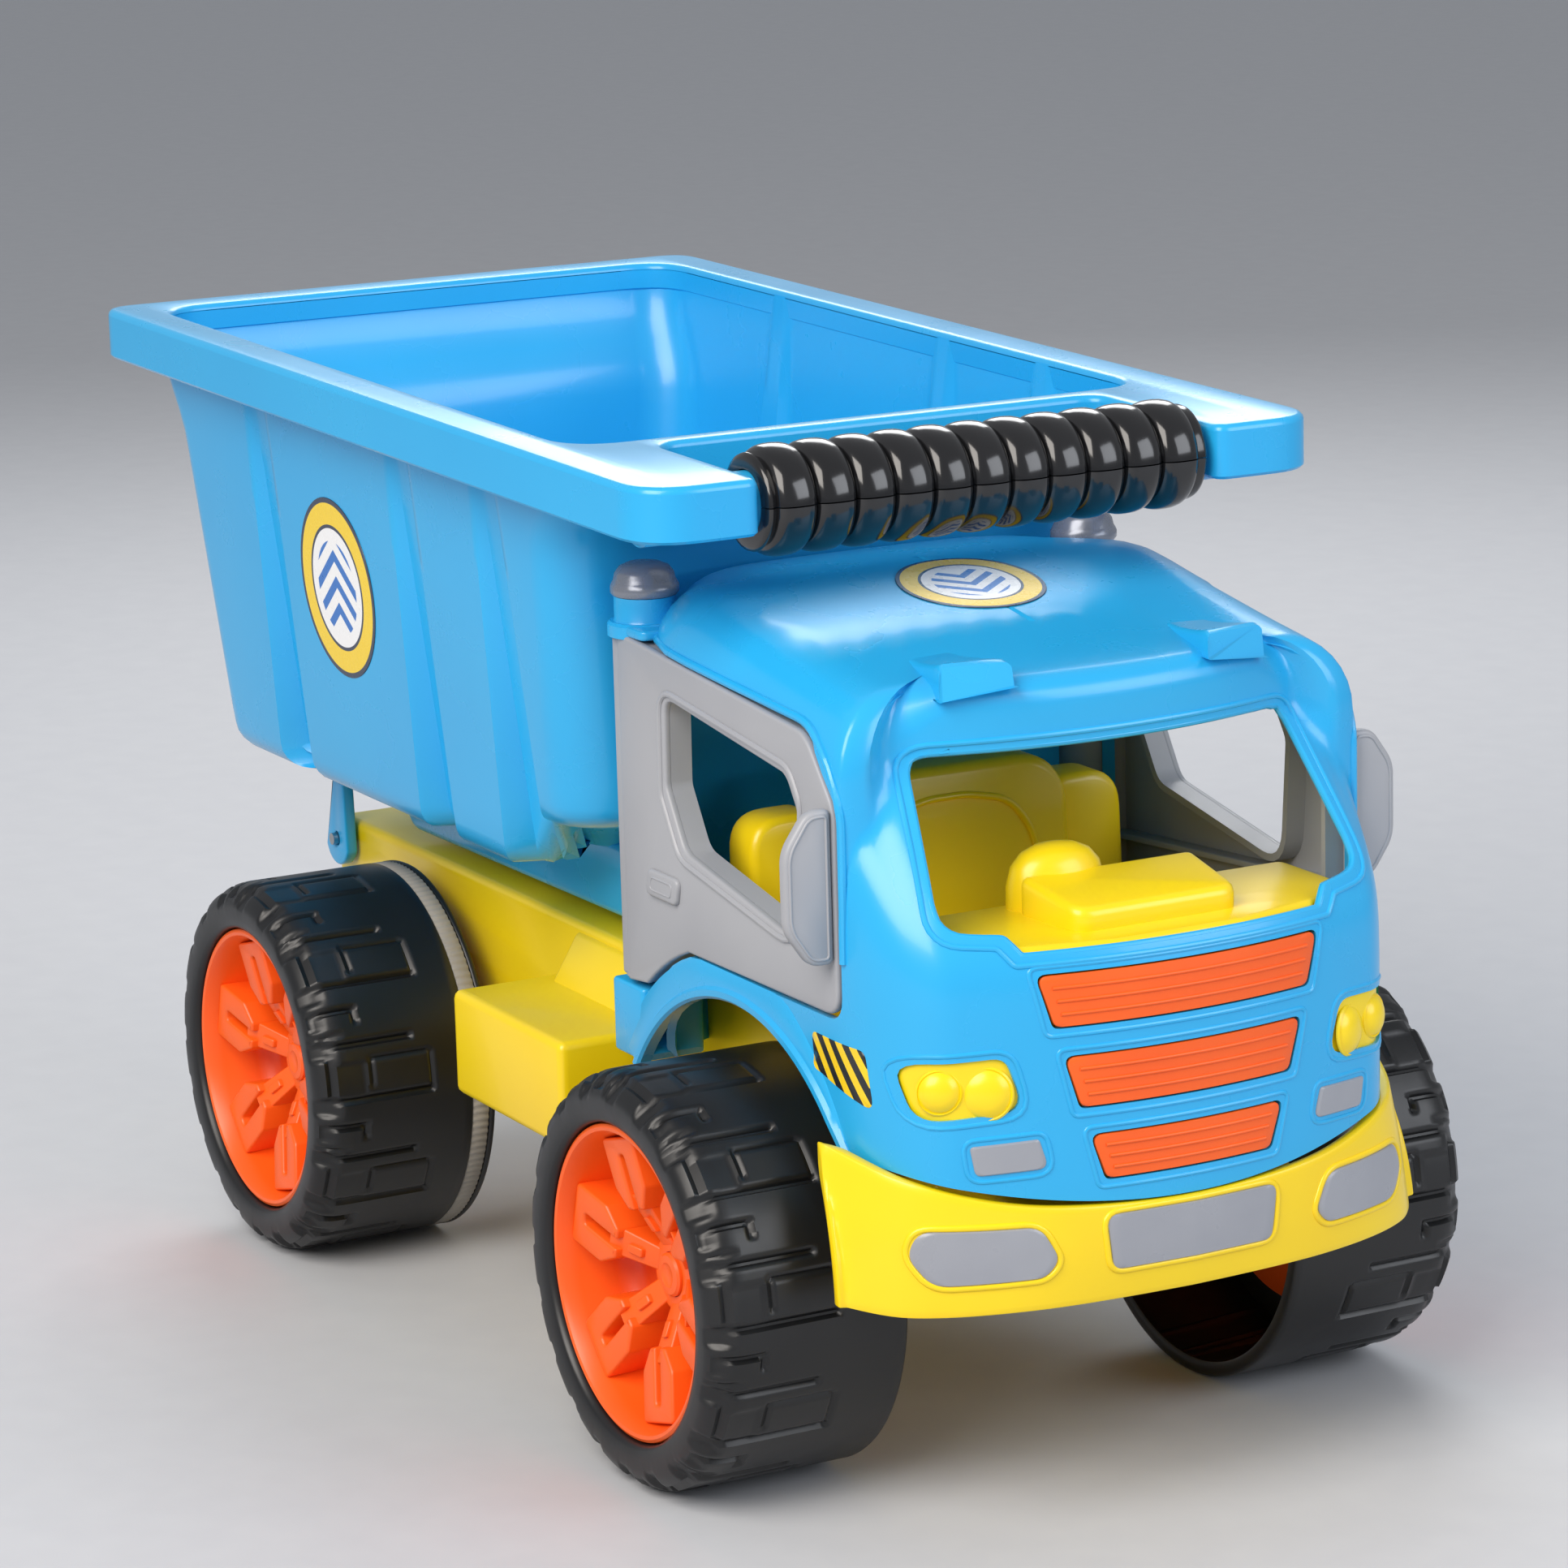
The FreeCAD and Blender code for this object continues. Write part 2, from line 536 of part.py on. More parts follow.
def fog_outline(grow):
    return [(43 - grow, TOP - 29.5 + grow, 4), (39 - grow, TOP - 38 - grow, 4),
            (46 - grow, TOP - 45 - grow, 5), (74 + grow, TOP - 44 - grow, 5),
            (80 + grow, TOP - 36 - grow, 4), (77 + grow, TOP - 28 + grow, 5)]


def centre_lamp_outline(grow):
    return [(25.7 + grow, TOP - 30.2 + grow, 3), (23.7 + grow, TOP - 44.7 - grow, 4),
            (-23.7 - grow, TOP - 44.7 - grow, 4), (-25.7 - grow, TOP - 30.2 + grow, 3)]


def through_front(outline):
    return prism(outline, "x", FX + 40, FX + 130)


def flipped(outline):
    return [(-u, v, r) for u, v, r in outline]


cab_outer = cab_block(0)
cab_inner = cab_block(S["cab_wall"])


def make_cab():
    low_cut = seam_tool(0)
    shell = cab_outer.cut(cab_inner).cut(low_cut)
    shell = shell.cut(slab(S["cab_rear_x"] - 5, FX, -S["bumper_half"], S["bumper_half"], 0, TOP - 16))
    shell = shell.cut(wheel_arch(S["arch_radius"], S["bumper_half"]))
    shell = shell.cut(slab(S["cab_rear_x"] - 5, FX, -S["chassis_half"] - S["fit_gap"],
                           S["chassis_half"] + S["fit_gap"], 0, S["chassis_top"]))
    post_low = TOP - 16
    for sign in (1, -1):
        y0, y1 = sorted((sign * (S["stack_y"] - S["stack_radius"]), sign * S["cab_half"]))
        post = slab(S["cab_rear_x"], S["door_axis_x"] + 12, y0, y1, post_low, S["door_low"] - S["door_gap"])
        head = slab(S["cab_rear_x"], S["door_axis_x"] + 10, y0, y1,
                    S["collar_low"] + S["door_gap"], S["collar_low"] + 12)
        shell = shell.fuse(post.cut(wheel_arch(S["arch_radius"], S["bumper_half"])))
        shell = shell.fuse(head.common(cab_outer))
    for sign in (1, -1):
        y0, y1 = sorted((sign * (S["stack_y"] - 20), sign * 100))
        shell = shell.cut(prism(door_outline(S["door_gap"]), "y", y0, y1))
        axis = Vector(S["door_axis_x"], sign * S["stack_y"], S["door_low"] - S["door_gap"])
        tall = S["collar_low"] + S["door_gap"] - axis.z
        shell = shell.cut(Part.makeCylinder(S["column_radius"] + S["door_gap"], tall, axis))
        side_gap = slab(S["cab_rear_x"] - 1, S["door_axis_x"], *sorted((sign * S["stack_y"], sign * 100)),
                        axis.z, axis.z + tall)
        shell = shell.cut(side_gap)
        collar = Part.makeCylinder(S["collar_radius"], S["collar_height"] - S["door_gap"],
                                   Vector(axis.x, axis.y, S["collar_low"] + S["door_gap"]))
        stack = Part.makeCylinder(S["stack_radius"], S["stack_top"] - S["collar_low"] - S["door_gap"],
                                  Vector(axis.x, axis.y, S["collar_low"] + S["door_gap"]))
        shell = shell.fuse(collar).fuse(stack)
        bore = S["pin_radius"] + S["running_gap"]
        low_bore = Vector(axis.x, axis.y, axis.z - S["pin_length"] - 1)
        shell = shell.cut(Part.makeCylinder(bore, S["pin_length"] + 2, low_bore))
        high_bore = Vector(axis.x, axis.y, S["collar_low"] - 1)
        shell = shell.cut(Part.makeCylinder(bore, S["pin_length"] + 2 + S["door_gap"], high_bore))
        room = Part.makeCylinder(S["cap_radius"] + S["fit_gap"], 30, Vector(axis.x, axis.y, S["stack_top"]))
        shell = shell.cut(room)
    shell = shell.cut(prism(screen_outline(0), "x", FX + 40, FX + 130))
    openings = slat_outlines(S["insert_gap"]) + [headlight_outline(S["insert_gap"]),
                                                 marker_outline(S["insert_gap"])]
    openings += [flipped(outline) for outline in openings[3:]]
    for outline in openings:
        shell = shell.cut(through_front(outline))
    for sign in (1, -1):
        shell = shell.fuse(roof_light(sign))
    return shell


def roof_light(sign):
    """A wedge-shaped marker light moulded on the brow of the roof."""
    y = sign * S["light_y"]
    front = FX + S["roof_front"]
    top = TOP + S["roof_front_z"] + S["light_height"]
    base = TOP + S["roof_front_z"]
    corners = [(front, base - 3, 0), (front - 1, top - 1, 1.5), (front - S["light_length"], top + 0.2, 0),
               (front - S["light_length"], base - 1, 0)]
    wedge = prism(corners, "y", y - S["light_half"], y + S["light_half"])
    return wedge.cut(cab_inner)


feature("cab_shell", make_cab())


# --- bumper and what is set into the cab's front --------------------------------------------

def bumper_block(inset):
    front = FX + S["bumper_front"] - inset
    half = S["bumper_half"] - inset
    rear = FX + 20
    low = TOP - S["bumper_bottom"]
    high = TOP - S["seam_side"] + 2
    curve = S["cab_curve"] - inset
    stack = [plan_face(front, half, rear, low, curve), plan_face(front - 1.6, half - 4, rear, high, curve)]
    return Part.makeLoft(stack, True, True)


def make_bumper():
    shell = bumper_block(0).cut(bumper_block(S["bumper_wall"])).common(seam_tool(0))
    shell = shell.cut(wheel_arch(S["arch_radius"], S["bumper_half"] + 5))
    shell = shell.cut(slab(FX, FX + 40, -BIG / 4, BIG / 4, 0, TOP))
    for outline in (fog_outline(S["insert_gap"]), flipped(fog_outline(S["insert_gap"])),
                    centre_lamp_outline(S["insert_gap"])):
        shell = shell.cut(through_front(outline))
    return shell


def skin_piece(outline, block, proud, depth):
    """What fills an opening: the outline, between two copies of the surface round it."""
    return block(-proud).cut(block(depth)).common(through_front(outline))


feature("front_bumper", make_bumper())
feature("bumper_lamp_left", skin_piece(fog_outline(0), bumper_block, S["insert_proud"], 3))
feature("bumper_lamp_right", skin_piece(flipped(fog_outline(0)), bumper_block, S["insert_proud"], 3))
feature("bumper_lamp_centre", skin_piece(centre_lamp_outline(0), bumper_block, S["insert_proud"], 3))
feature("marker_lamp_left", skin_piece(marker_outline(0), cab_block, S["insert_proud"], 2.5))
feature("marker_lamp_right", skin_piece(flipped(marker_outline(0)), cab_block, S["insert_proud"], 2.5))
feature("headlight_left", skin_piece(headlight_outline(0), cab_block, S["insert_proud"], 2.5))
feature("headlight_right", skin_piece(flipped(headlight_outline(0)), cab_block, S["insert_proud"], 2.5))


def make_grille():
    """Three pads on one backing plate behind the cab's front wall."""
    wall = S["cab_wall"]
    plate_outline = [(42, TOP + 41, 4), (30, TOP - 22, 4), (-30, TOP - 22, 4), (-42, TOP + 41, 4)]
    insert = cab_block(wall).cut(cab_block(wall + 2)).common(through_front(plate_outline))
    for outline in slat_outlines(0):
        insert = insert.fuse(skin_piece(outline, cab_block, S["insert_proud"], wall + 1))
    return insert.removeSplitter()


feature("grille_insert", make_grille())

for hand, sign in (("left", 1), ("right", -1)):
    base = Vector(S["door_axis_x"], sign * S["stack_y"], S["stack_top"])
    skirt = Part.makeCylinder(S["cap_radius"], S["cap_height"] - 5.5, base)
    dome = Part.makeSphere(S["cap_radius"]).common(Part.makeBox(40, 40, 20, Vector(-20, -20, 0)))
    squash = FreeCAD.Matrix()
    squash.scale(1, 1, 0.55)
    dome = dome.transformGeometry(squash)
    dome.translate(base + Vector(0, 0, S["cap_height"] - 5.5))
    feature(f"exhaust_cap_{hand}", skirt.fuse(dome))


# --- cabin: a seat unit on the chassis and a dashboard under the windscreen ------------------

def make_seats():
    floor = "chassis_top"
    top = "chassis_top + seat_base_rise"
    base = block("seat_base", "front_axle_x - cab_rear + 6", "front_axle_x + seat_front_x",
                 "-base_half", "base_half", floor, top)
    hollow = block("seat_base_hollow", "front_axle_x - cab_rear + 9",
                   "front_axle_x + seat_front_x - 3", "3 - base_half", "base_half - 3",
                   floor + " - 1", top + " - 3")
    shelf = block("seat_shelf", "front_axle_x - cab_rear + 6", "front_axle_x - seat_face_x - 3",
                  "-base_half", "base_half", top + " - 1", "tyre_top + shelf_height")
    shelf_hollow = block("seat_shelf_hollow", "front_axle_x - cab_rear + 9",
                         "front_axle_x - seat_face_x - 6", "3 - base_half", "base_half - 3",
                         top + " - 4", "tyre_top + shelf_height - 3")
    back = block("seat_back", "front_axle_x - seat_back_x", "front_axle_x - seat_face_x",
                 "-seat_half", "seat_half", top + " - 1", "tyre_top + seat_height")
    cushion = block("cushion", "front_axle_x - seat_face_x - 1", "front_axle_x + seat_front_x",
                    "-seat_half", "seat_half", top + " - 1", top + " + 7")
    hollows = joined("seat_hollows", [hollow, shelf_hollow])
    keep(trimmed("seat_unit", joined("seat_solid", [base, shelf, back, cushion]), hollows), "seat_unit")


def make_dash():
    rear = FX + S["dash_rear"]
    low = TOP + S["dash_z"] - S["dash_thick"]
    plan = cab_block(S["cab_wall"] + S["fit_gap"] * 0.5)
    shelf = plan.common(slab(rear, FX + 130, -S["dash_half"], S["dash_half"], low, low + S["dash_thick"]))
    shelf = shelf.common(slab(rear, FX + 96, -S["dash_half"], S["dash_half"], 0, BIG))
    top = TOP + S["dash_z"] + S["binnacle_height"]
    corners = [(FX + S["binnacle_rear"], TOP + S["dash_z"] - 1, 0), (FX + S["binnacle_rear"] + 3, top, 3),
               (FX + S["binnacle_front"] - 8, top - 2, 3), (FX + S["binnacle_front"], TOP + S["dash_z"] - 1, 0)]
    binnacle = prism(corners, "y", -S["binnacle_half"], S["binnacle_half"])
    return shelf.fuse(binnacle).removeSplitter()


make_seats()
feature("dashboard", make_dash())


# --- doors: a hollow plate on a round column that turns on two short pins --------------------

def make_door(sign):
    face = S["door_face"]
    inner = face - S["door_thick"]
    y0, y1 = sorted((sign * inner, sign * face))
    plate = prism(door_outline(0), "y", y0, y1)
    skin = S["door_skin"]
    y0, y1 = sorted((sign * (inner - 1), sign * (face - skin)))
    hollow = prism(door_outline(-skin * 1.2), "y", y0, y1)
    y0, y1 = sorted((sign * (inner - 1), sign * (face + 1)))
    window = prism(door_window(), "y", y0, y1)
    frame = prism(door_window(), "y", *sorted((sign * inner, sign * face)))
    frame = frame.makeOffsetShape(skin, 0.01, join=2).common(prism(door_outline(0), "y", *sorted((sign * inner, sign * face))))
    door = plate.cut(hollow).fuse(frame).cut(window)
    axis = Vector(S["door_axis_x"], sign * S["stack_y"], S["door_low"])
    tall = S["collar_low"] - S["door_low"]
    door = door.cut(Part.makeCylinder(S["collar_radius"] + S["door_gap"], 20, axis + Vector(0, 0, tall)))
    column = Part.makeCylinder(S["column_radius"], tall, axis)
    pin = S["pin_radius"]
    long = S["pin_length"] + S["door_gap"]
    low_pin = Part.makeCylinder(pin, long + 1, axis - Vector(0, 0, long))
    high_pin = Part.makeCylinder(pin, long + 1, axis + Vector(0, 0, tall - 1))
    door = door.fuse([column, low_pin, high_pin]).removeSplitter()
    latch = slab(FX + S["door_front"] - 5, FX + S["door_front"] + 5, *sorted((sign * (face - 2.2), sign * (inner + 1))),
                 TOP + 56, TOP + 67)
    return door.cut(latch)


def make_mirror(sign):
    """A rounded plate that stands out from the door's front edge."""
    y0 = S["door_face"]
    y1 = S["door_face"] + S["mirror_out"]
    low = TOP + S["mirror_low"]
    high = TOP + S["mirror_high"]
    corners = [(sign * y0, low, 0), (sign * y1, low + 3, 8), (sign * y1, high - 8, 11), (sign * y0, high, 0)]
    x = FX + S["door_front"] - 1
    return prism(corners, "x", x - S["mirror_thick"], x)


for hand, sign in (("left", 1), ("right", -1)):
    feature(f"door_{hand}", make_door(sign))
    feature(f"mirror_{hand}", make_mirror(sign))


# --- dump bucket ----------------------------------------------------------------------------

def bucket_rear(z_share):
    return RX - S["bucket_rear_low"] - z_share * (S["bucket_rear_top"] - S["bucket_rear_low"])


def bucket_outline(z, share, inset):
    """One level of the fluted tub; share runs from 0 at its foot to 1 under the rim."""
    rear = bucket_rear(share) + inset
    front = FX - S["bucket_front_low"] - inset
    front += share * (S["bucket_front_low"] - S["bucket_front_top"])
    half = S["bucket_half_low"] + share * (S["bucket_half_top"] - S["bucket_half_low"]) - inset
    dip = half - S["groove_low"] - share * (S["groove_top"] - S["groove_low"])
    wide = S["groove_half"] * (1 - 0.4 * share)
    corner = 10.0
    foot = RX - S["bucket_rear_top"]
    grooves = [foot + S["groove_one"], foot + S["groove_two"], FX - S["bucket_front_low"] - S["groove_three"]]
    side = [(rear + corner, half)]
    for x in grooves:
        side += [(x - wide, half), (x - wide * 0.35, dip), (x + wide * 0.35, dip), (x + wide, half)]
    side += [(front - 2 * corner, half), (front, half - 2 * corner)]
    left = [(rear, half - corner)] + side
    ring = left + [(x, -y) for x, y in reversed(left)]
    points = [Vector(x, y, z) for x, y in ring]
    return Part.makePolygon(points + points[:1])


def bucket_block(inset, low_extra, high):
    low = TOP + S["bucket_low_z"]
    share = (high - low) / (TOP + S["bucket_high_z"] - low)
    wires = [bucket_outline(low, 0, inset), bucket_outline(high, share, inset)]
    whole = Part.makeLoft(wires, True, True)
    step = slab(FX - S["bucket_front_low"] - S["bucket_step"] - low_extra, FX, -BIG, BIG, low - 1,
                TOP + S["bucket_step_z"] + low_extra)
    whole = whole.cut(step)
    if low_extra:
        whole = whole.cut(slab(-BIG, BIG, -BIG, BIG, low - 1, low + low_extra))
    return whole


def tilted(shape):
    """Rim pieces slope down towards the cab."""
    run = (FX + S["rim_front"]) - (RX - S["rim_rear"])
    drop = S["rim_top_rear"] - S["rim_top_front"]
    angle = math.degrees(math.atan2(drop, run))
    shape.rotate(Vector(RX - S["rim_rear"], 0, TOP + S["rim_top_rear"]), Vector(0, 1, 0), angle)
    return shape


def rim_outline(inset):
    rear = RX - S["rim_rear"] + inset
    front = FX + S["rim_front"] - inset
    half = S["rim_half"] - inset
    big = S["rim_corner"] - inset
    small = S["rim_tail_corner"] - inset
    return [(rear, half, small), (front, half, big), (front, -half, big), (rear, -half, small)]


def slot_outline(grow):
    rear = FX - S["slot_rear"] - grow
    front = FX + S["rim_front"] + 20
    half = S["slot_half"] + grow
    return [(rear, half, 6), (front, half, 0), (front, -half, 0), (rear, -half, 6)]


def make_bucket():
    top = TOP + S["rim_top_rear"]
    low = top - S["rim_skirt"]
    plate = S["rim_plate"]
    rim = tilted(prism(rim_outline(0), "z", low, top))
    under = tilted(prism(rim_outline(plate), "z", low - 1, top - plate))
    tub = bucket_block(0, 0, top)
    neck = tilted(prism([(RX - S["rim_open_rear"] - plate, S["rim_open_half"] + plate, 20),
                         (FX - S["rim_open_front"] + plate, S["rim_open_half"] + plate, 20),
                         (FX - S["rim_open_front"] + plate, -S["rim_open_half"] - plate, 20),
                         (RX - S["rim_open_rear"] - plate, -S["rim_open_half"] - plate, 20)],
                        "z", low, top))
    mouth = tilted(prism([(RX - S["rim_open_rear"], S["rim_open_half"], 17),
                          (FX - S["rim_open_front"], S["rim_open_half"], 17),
                          (FX - S["rim_open_front"], -S["rim_open_half"], 17),
                          (RX - S["rim_open_rear"], -S["rim_open_half"], 17)],
                         "z", low + plate, top + 20))
    slot = tilted(prism(slot_outline(0), "z", low - 5, top + 20))
    slot_wall = tilted(prism(slot_outline(plate), "z", low, top)).cut(slot)
    slot_wall = slot_wall.common(rim)
    rim_shell = rim.cut(under).fuse(slot_wall).cut(slot)
    below_rim = tilted(slab(-BIG, BIG, -BIG, BIG, 0, low + plate))
    body = tub.common(below_rim).fuse([rim_shell, neck])
    lower = make_tub(0)
    body = body.fuse(lower)
    inside = bucket_block(S["bucket_wall"], S["bucket_wall"], top).common(below_rim)
    body = body.cut(inside).cut(mouth).cut(make_tub(S["bucket_wall"]))
    bar = handle_bar(S["grip_bar"], S["slot_half"] + 2)
    body = body.fuse([bar] + [leg(sign) for sign in (1, -1)])
    bore_start = Vector(S["hinge_x"], -90, S["hinge_z"])
    body = body.cut(Part.makeCylinder(S["hinge_pin_radius"] + S["running_gap"], 180, bore_start, Vector(0, 1, 0)))
    return body.removeSplitter()


def handle_bar(radius, half):
    start = Vector(FX - S["grip_x"], -half, TOP + S["grip_z"])
    return Part.makeCylinder(radius, 2 * half, start, Vector(0, 1, 0))


def make_tub(inset):
    """The narrow keel under the floor, which rests on the chassis."""
    rear = RX - S["tub_rear"] + inset
    front = FX - S["tub_front"] - inset
    half = S["tub_half"] - inset
    high = TOP + S["bucket_low_z"] + 6 + inset * 4
    low = TOP + S["tub_low_z"] + inset
    corners = [(rear, high, 0), (rear, low + 3, 0), (rear + 6, low, 0), (front, low, 0), (front, high, 0)]
    return prism(corners, "y", -half, half)


def leg(sign):
    """One of the two hinge legs that straddle the chassis tail."""
    y0, y1 = sorted((sign * S["leg_inner"], sign * (S["leg_inner"] + S["leg_thick"])))
    half = S["leg_half"]
    x = S["hinge_x"]
    high = TOP + S["bucket_low_z"] + 1
    corners = [(x - half - 6, high, 0), (x - half, S["hinge_z"] + 6, 0), (x - half, S["hinge_z"] - half, half - 1),
               (x + half, S["hinge_z"] - half, half - 1), (x + half, high, 0)]
    return prism(corners, "y", y0, y1)


feature("dump_bucket", make_bucket())


def make_grip(upper):
    """Half of the ribbed handle shell: full round ribs, split on the bar's middle plane."""
    radius = S["grip_radius"]
    half = S["grip_half"]
    pitch = 2 * half / S["rib_count"]
    x = FX - S["grip_x"]
    z = TOP + S["grip_z"]
    edges = []
    valley = radius - S["rib_depth"]
    points = [(-half + index * pitch, valley) for index in range(int(S["rib_count"]) + 1)]
    for (a, low), (b, _) in zip(points[:-1], points[1:]):
        edges.append(Part.Arc(Vector(x, a, z + low), Vector(x, (a + b) / 2, z + radius),
                              Vector(x, b, z + low)).toShape())
    bore = S["grip_bar"] + S["running_gap"]
    ends = [Vector(x, half, z + valley), Vector(x, half, z + bore), Vector(x, -half, z + bore),
            Vector(x, -half, z + valley)]
    edges += [Part.LineSegment(ends[i], ends[i + 1]).toShape() for i in range(3)]
    ring = Part.Face(Part.Wire(edges)).revolve(Vector(x, 0, z), Vector(0, 1, 0), 360)
    side = slab(x - 30, x + 30, -90, 90, z, z + 40) if upper else slab(x - 30, x + 30, -90, 90, z - 40, z)
    return ring.common(side)


feature("handle_grip_upper", make_grip(True))
feature("handle_grip_lower", make_grip(False))


# --- stickers: thin printed films on the outside --------------------------------------------

def raised(shape, by):
    copy = shape.copy()
    copy.translate(by)
    return copy


def roof_sticker():
    place = Vector(FX - S["badge_x"], 0, TOP + S["roof_front_z"])
    disc = Part.makeCylinder(S["badge_radius"], 60, place)
    return raised(cab_outer, Vector(0, 0, S["sticker"])).cut(cab_outer).common(disc)


def bucket_sticker(sign):
    """An oval film on the broad panel of the bucket's side."""
    solid = bucket_block(0, 0, TOP + S["rim_top_rear"])
    film = raised(solid, Vector(0, sign * S["sticker"], 0)).cut(solid)
    tall = S["side_badge_height"] / 2
    long = S["side_badge_length"] / 2
    oval = Part.Ellipse(Vector(0, 0, 0), tall, long)
    face = Part.Face(Part.Wire(oval.toShape()))
    face.rotate(Vector(), Vector(0, 0, 1), 90)
    face.rotate(Vector(), Vector(1, 0, 0), 90)
    face.translate(Vector(RX - S["bucket_rear_top"] + S["side_badge_x"], sign * 60,
                          TOP + S["side_badge_z"]))
    return film.common(face.extrude(Vector(0, sign * 60, 0)))


feature("roof_sticker", roof_sticker())
feature("bucket_sticker_left", bucket_sticker(1))
feature("bucket_sticker_right", bucket_sticker(-1))


# --- screws that hold the seat unit to the chassis from below -------------------------------

def make_screws():
    screws = []
    for x in (FX - S["cab_rear"] + 20, FX + S["seat_front_x"] - 16):
        for y in (-30, 30):
            head = Part.makeCylinder(S["screw_head"], 2, Vector(x, y, S["chassis_top"] - S["chassis_wall"] - 2))
            screws.append(head)
    return Part.makeCompound(screws)


feature("chassis_screws", make_screws())


# --- check everything, then write one file per node ------------------------------------------

doc.recompute()
for obj in doc.Objects:
    faults = [word for word in obj.State if word in ("Invalid", "Error")]
    if faults:
        raise RuntimeError(f"{obj.Name} is {faults}")
for name, obj in nodes.items():
    if obj.Shape.isNull() or not obj.Shape.isValid():
        raise RuntimeError(f"{name} has no valid shape")
os.makedirs("parts", exist_ok=True)
for name, obj in nodes.items():
    obj.Shape.exportStep(f"parts/{name}.step")
print(len(nodes), "nodes written")
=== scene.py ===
import bmesh
import bpy
import json
import math
from mathutils import Matrix, Vector
from mathutils.bvhtree import BVHTree

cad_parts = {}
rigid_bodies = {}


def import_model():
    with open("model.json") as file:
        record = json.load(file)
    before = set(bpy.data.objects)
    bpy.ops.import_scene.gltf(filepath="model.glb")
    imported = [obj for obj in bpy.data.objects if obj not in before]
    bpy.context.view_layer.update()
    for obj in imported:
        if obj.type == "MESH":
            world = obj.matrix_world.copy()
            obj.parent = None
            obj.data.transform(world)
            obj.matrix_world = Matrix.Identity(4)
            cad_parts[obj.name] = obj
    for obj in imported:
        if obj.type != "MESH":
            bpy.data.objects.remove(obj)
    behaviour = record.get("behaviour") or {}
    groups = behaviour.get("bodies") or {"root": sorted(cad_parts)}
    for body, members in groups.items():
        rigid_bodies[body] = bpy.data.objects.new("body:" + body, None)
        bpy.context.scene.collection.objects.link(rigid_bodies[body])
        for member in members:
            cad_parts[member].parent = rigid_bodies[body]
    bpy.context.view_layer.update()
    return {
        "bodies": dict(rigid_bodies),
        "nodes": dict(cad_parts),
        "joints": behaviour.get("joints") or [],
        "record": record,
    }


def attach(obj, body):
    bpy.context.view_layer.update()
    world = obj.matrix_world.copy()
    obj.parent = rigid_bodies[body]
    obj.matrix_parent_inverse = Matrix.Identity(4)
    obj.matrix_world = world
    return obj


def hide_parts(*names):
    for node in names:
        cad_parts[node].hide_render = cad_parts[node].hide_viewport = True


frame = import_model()

mm = 0.001
truck = {
    "frontAxle": 143.5, "rearAxle": -122.0, "axleHigh": 60.0, "tyreOut": 124.0, "tyreIn": 64.0,
    "tyreRound": 60.0, "archRound": 75.0, "doorX": 75.5, "doorY": 73.8,
}
frontAxle, rearAxle, axleHigh = truck["frontAxle"], truck["rearAxle"], truck["axleHigh"]


def circle(steps):
    return [2 * math.pi * k / steps for k in range(steps)]


def clamped(value):
    return min(1.0, max(0.0, value))


def rgb(code):
    parts = [int(code[i:i + 2], 16) / 255 for i in (0, 2, 4)]
    return [p / 12.92 if p <= 0.04045 else ((p + 0.055) / 1.055) ** 2.4 for p in parts] + [1.0]


def addNode(tree, kind, values=None, links=None, **settings):
    made = tree.nodes.new(kind)
    for key, value in settings.items():
        setattr(made, key, value)
    for socket, value in (values or {}).items():
        made.inputs[socket].default_value = value
    for socket, source in (links or {}).items():
        tree.links.new(source, made.inputs[socket])
    return made


# moulded plastic: a slow colour drift, a faint flow texture and a fine skin
def mouldedPlastic(name, look):
    mat = bpy.data.materials.new(name)
    mat.use_nodes = True
    tree = mat.node_tree
    tree.nodes.clear()
    where = addNode(tree, "ShaderNodeTexCoord").outputs["Object"]
    drift = addNode(tree, "ShaderNodeTexNoise", {"Scale": 1000 / look["driftMm"], "Detail": 3.0},
                    {"Vector": where})
    tint = addNode(tree, "ShaderNodeMix", {"A": rgb(look["colour"]), "B": rgb(look["shade"])},
                   data_type="RGBA")
    spread = addNode(tree, "ShaderNodeMapRange", {"From Min": 0.35, "From Max": 0.7},
                     {"Value": drift.outputs["Fac"]})
    tree.links.new(spread.outputs["Result"], tint.inputs["Factor"])
    wear = addNode(tree, "ShaderNodeTexNoise", {"Scale": 1000 / look["wearMm"], "Detail": 5.0},
                   {"Vector": where})
    rough = addNode(tree, "ShaderNodeMapRange",
                    {"To Min": look["rough"] * 0.82, "To Max": look["rough"] * 1.25},
                    {"Value": wear.outputs["Fac"]})
    skin = addNode(tree, "ShaderNodeTexNoise", {"Scale": 1000 / look["skinMm"], "Detail": 0.5},
                   {"Vector": where})
    flow = addNode(tree, "ShaderNodeBump", {"Strength": look["skin"], "Distance": 0.0003},
                   {"Height": skin.outputs["Fac"]})
    shader = addNode(tree, "ShaderNodeBsdfPrincipled",
                     {"IOR": look.get("ior", 1.52), "Metallic": look.get("metal", 0.0),
                      "Coat Weight": look.get("coat", 0.0), "Coat Roughness": 0.08,
                      "Subsurface Weight": look.get("glow", 0.0), "Subsurface Scale": 0.002},
                     {"Base Color": tint.outputs["Result"], "Roughness": rough.outputs["Result"],
                      "Normal": flow.outputs["Normal"]})
    addNode(tree, "ShaderNodeOutputMaterial", {}, {"Surface": shader.outputs["BSDF"]})
    mat.diffuse_color = rgb(look["colour"])
    return mat


# what each gives the eye: the blue is bright and glossy with soft-edged reflections
bluePlastic = mouldedPlastic("mouldedPolypropyleneBlue", {
    "colour": "28ADE8", "shade": "25A8E4", "driftMm": 90, "wearMm": 40, "skinMm": 9.0, "skin": 0.03,
    "rough": 0.27, "coat": 0.15})
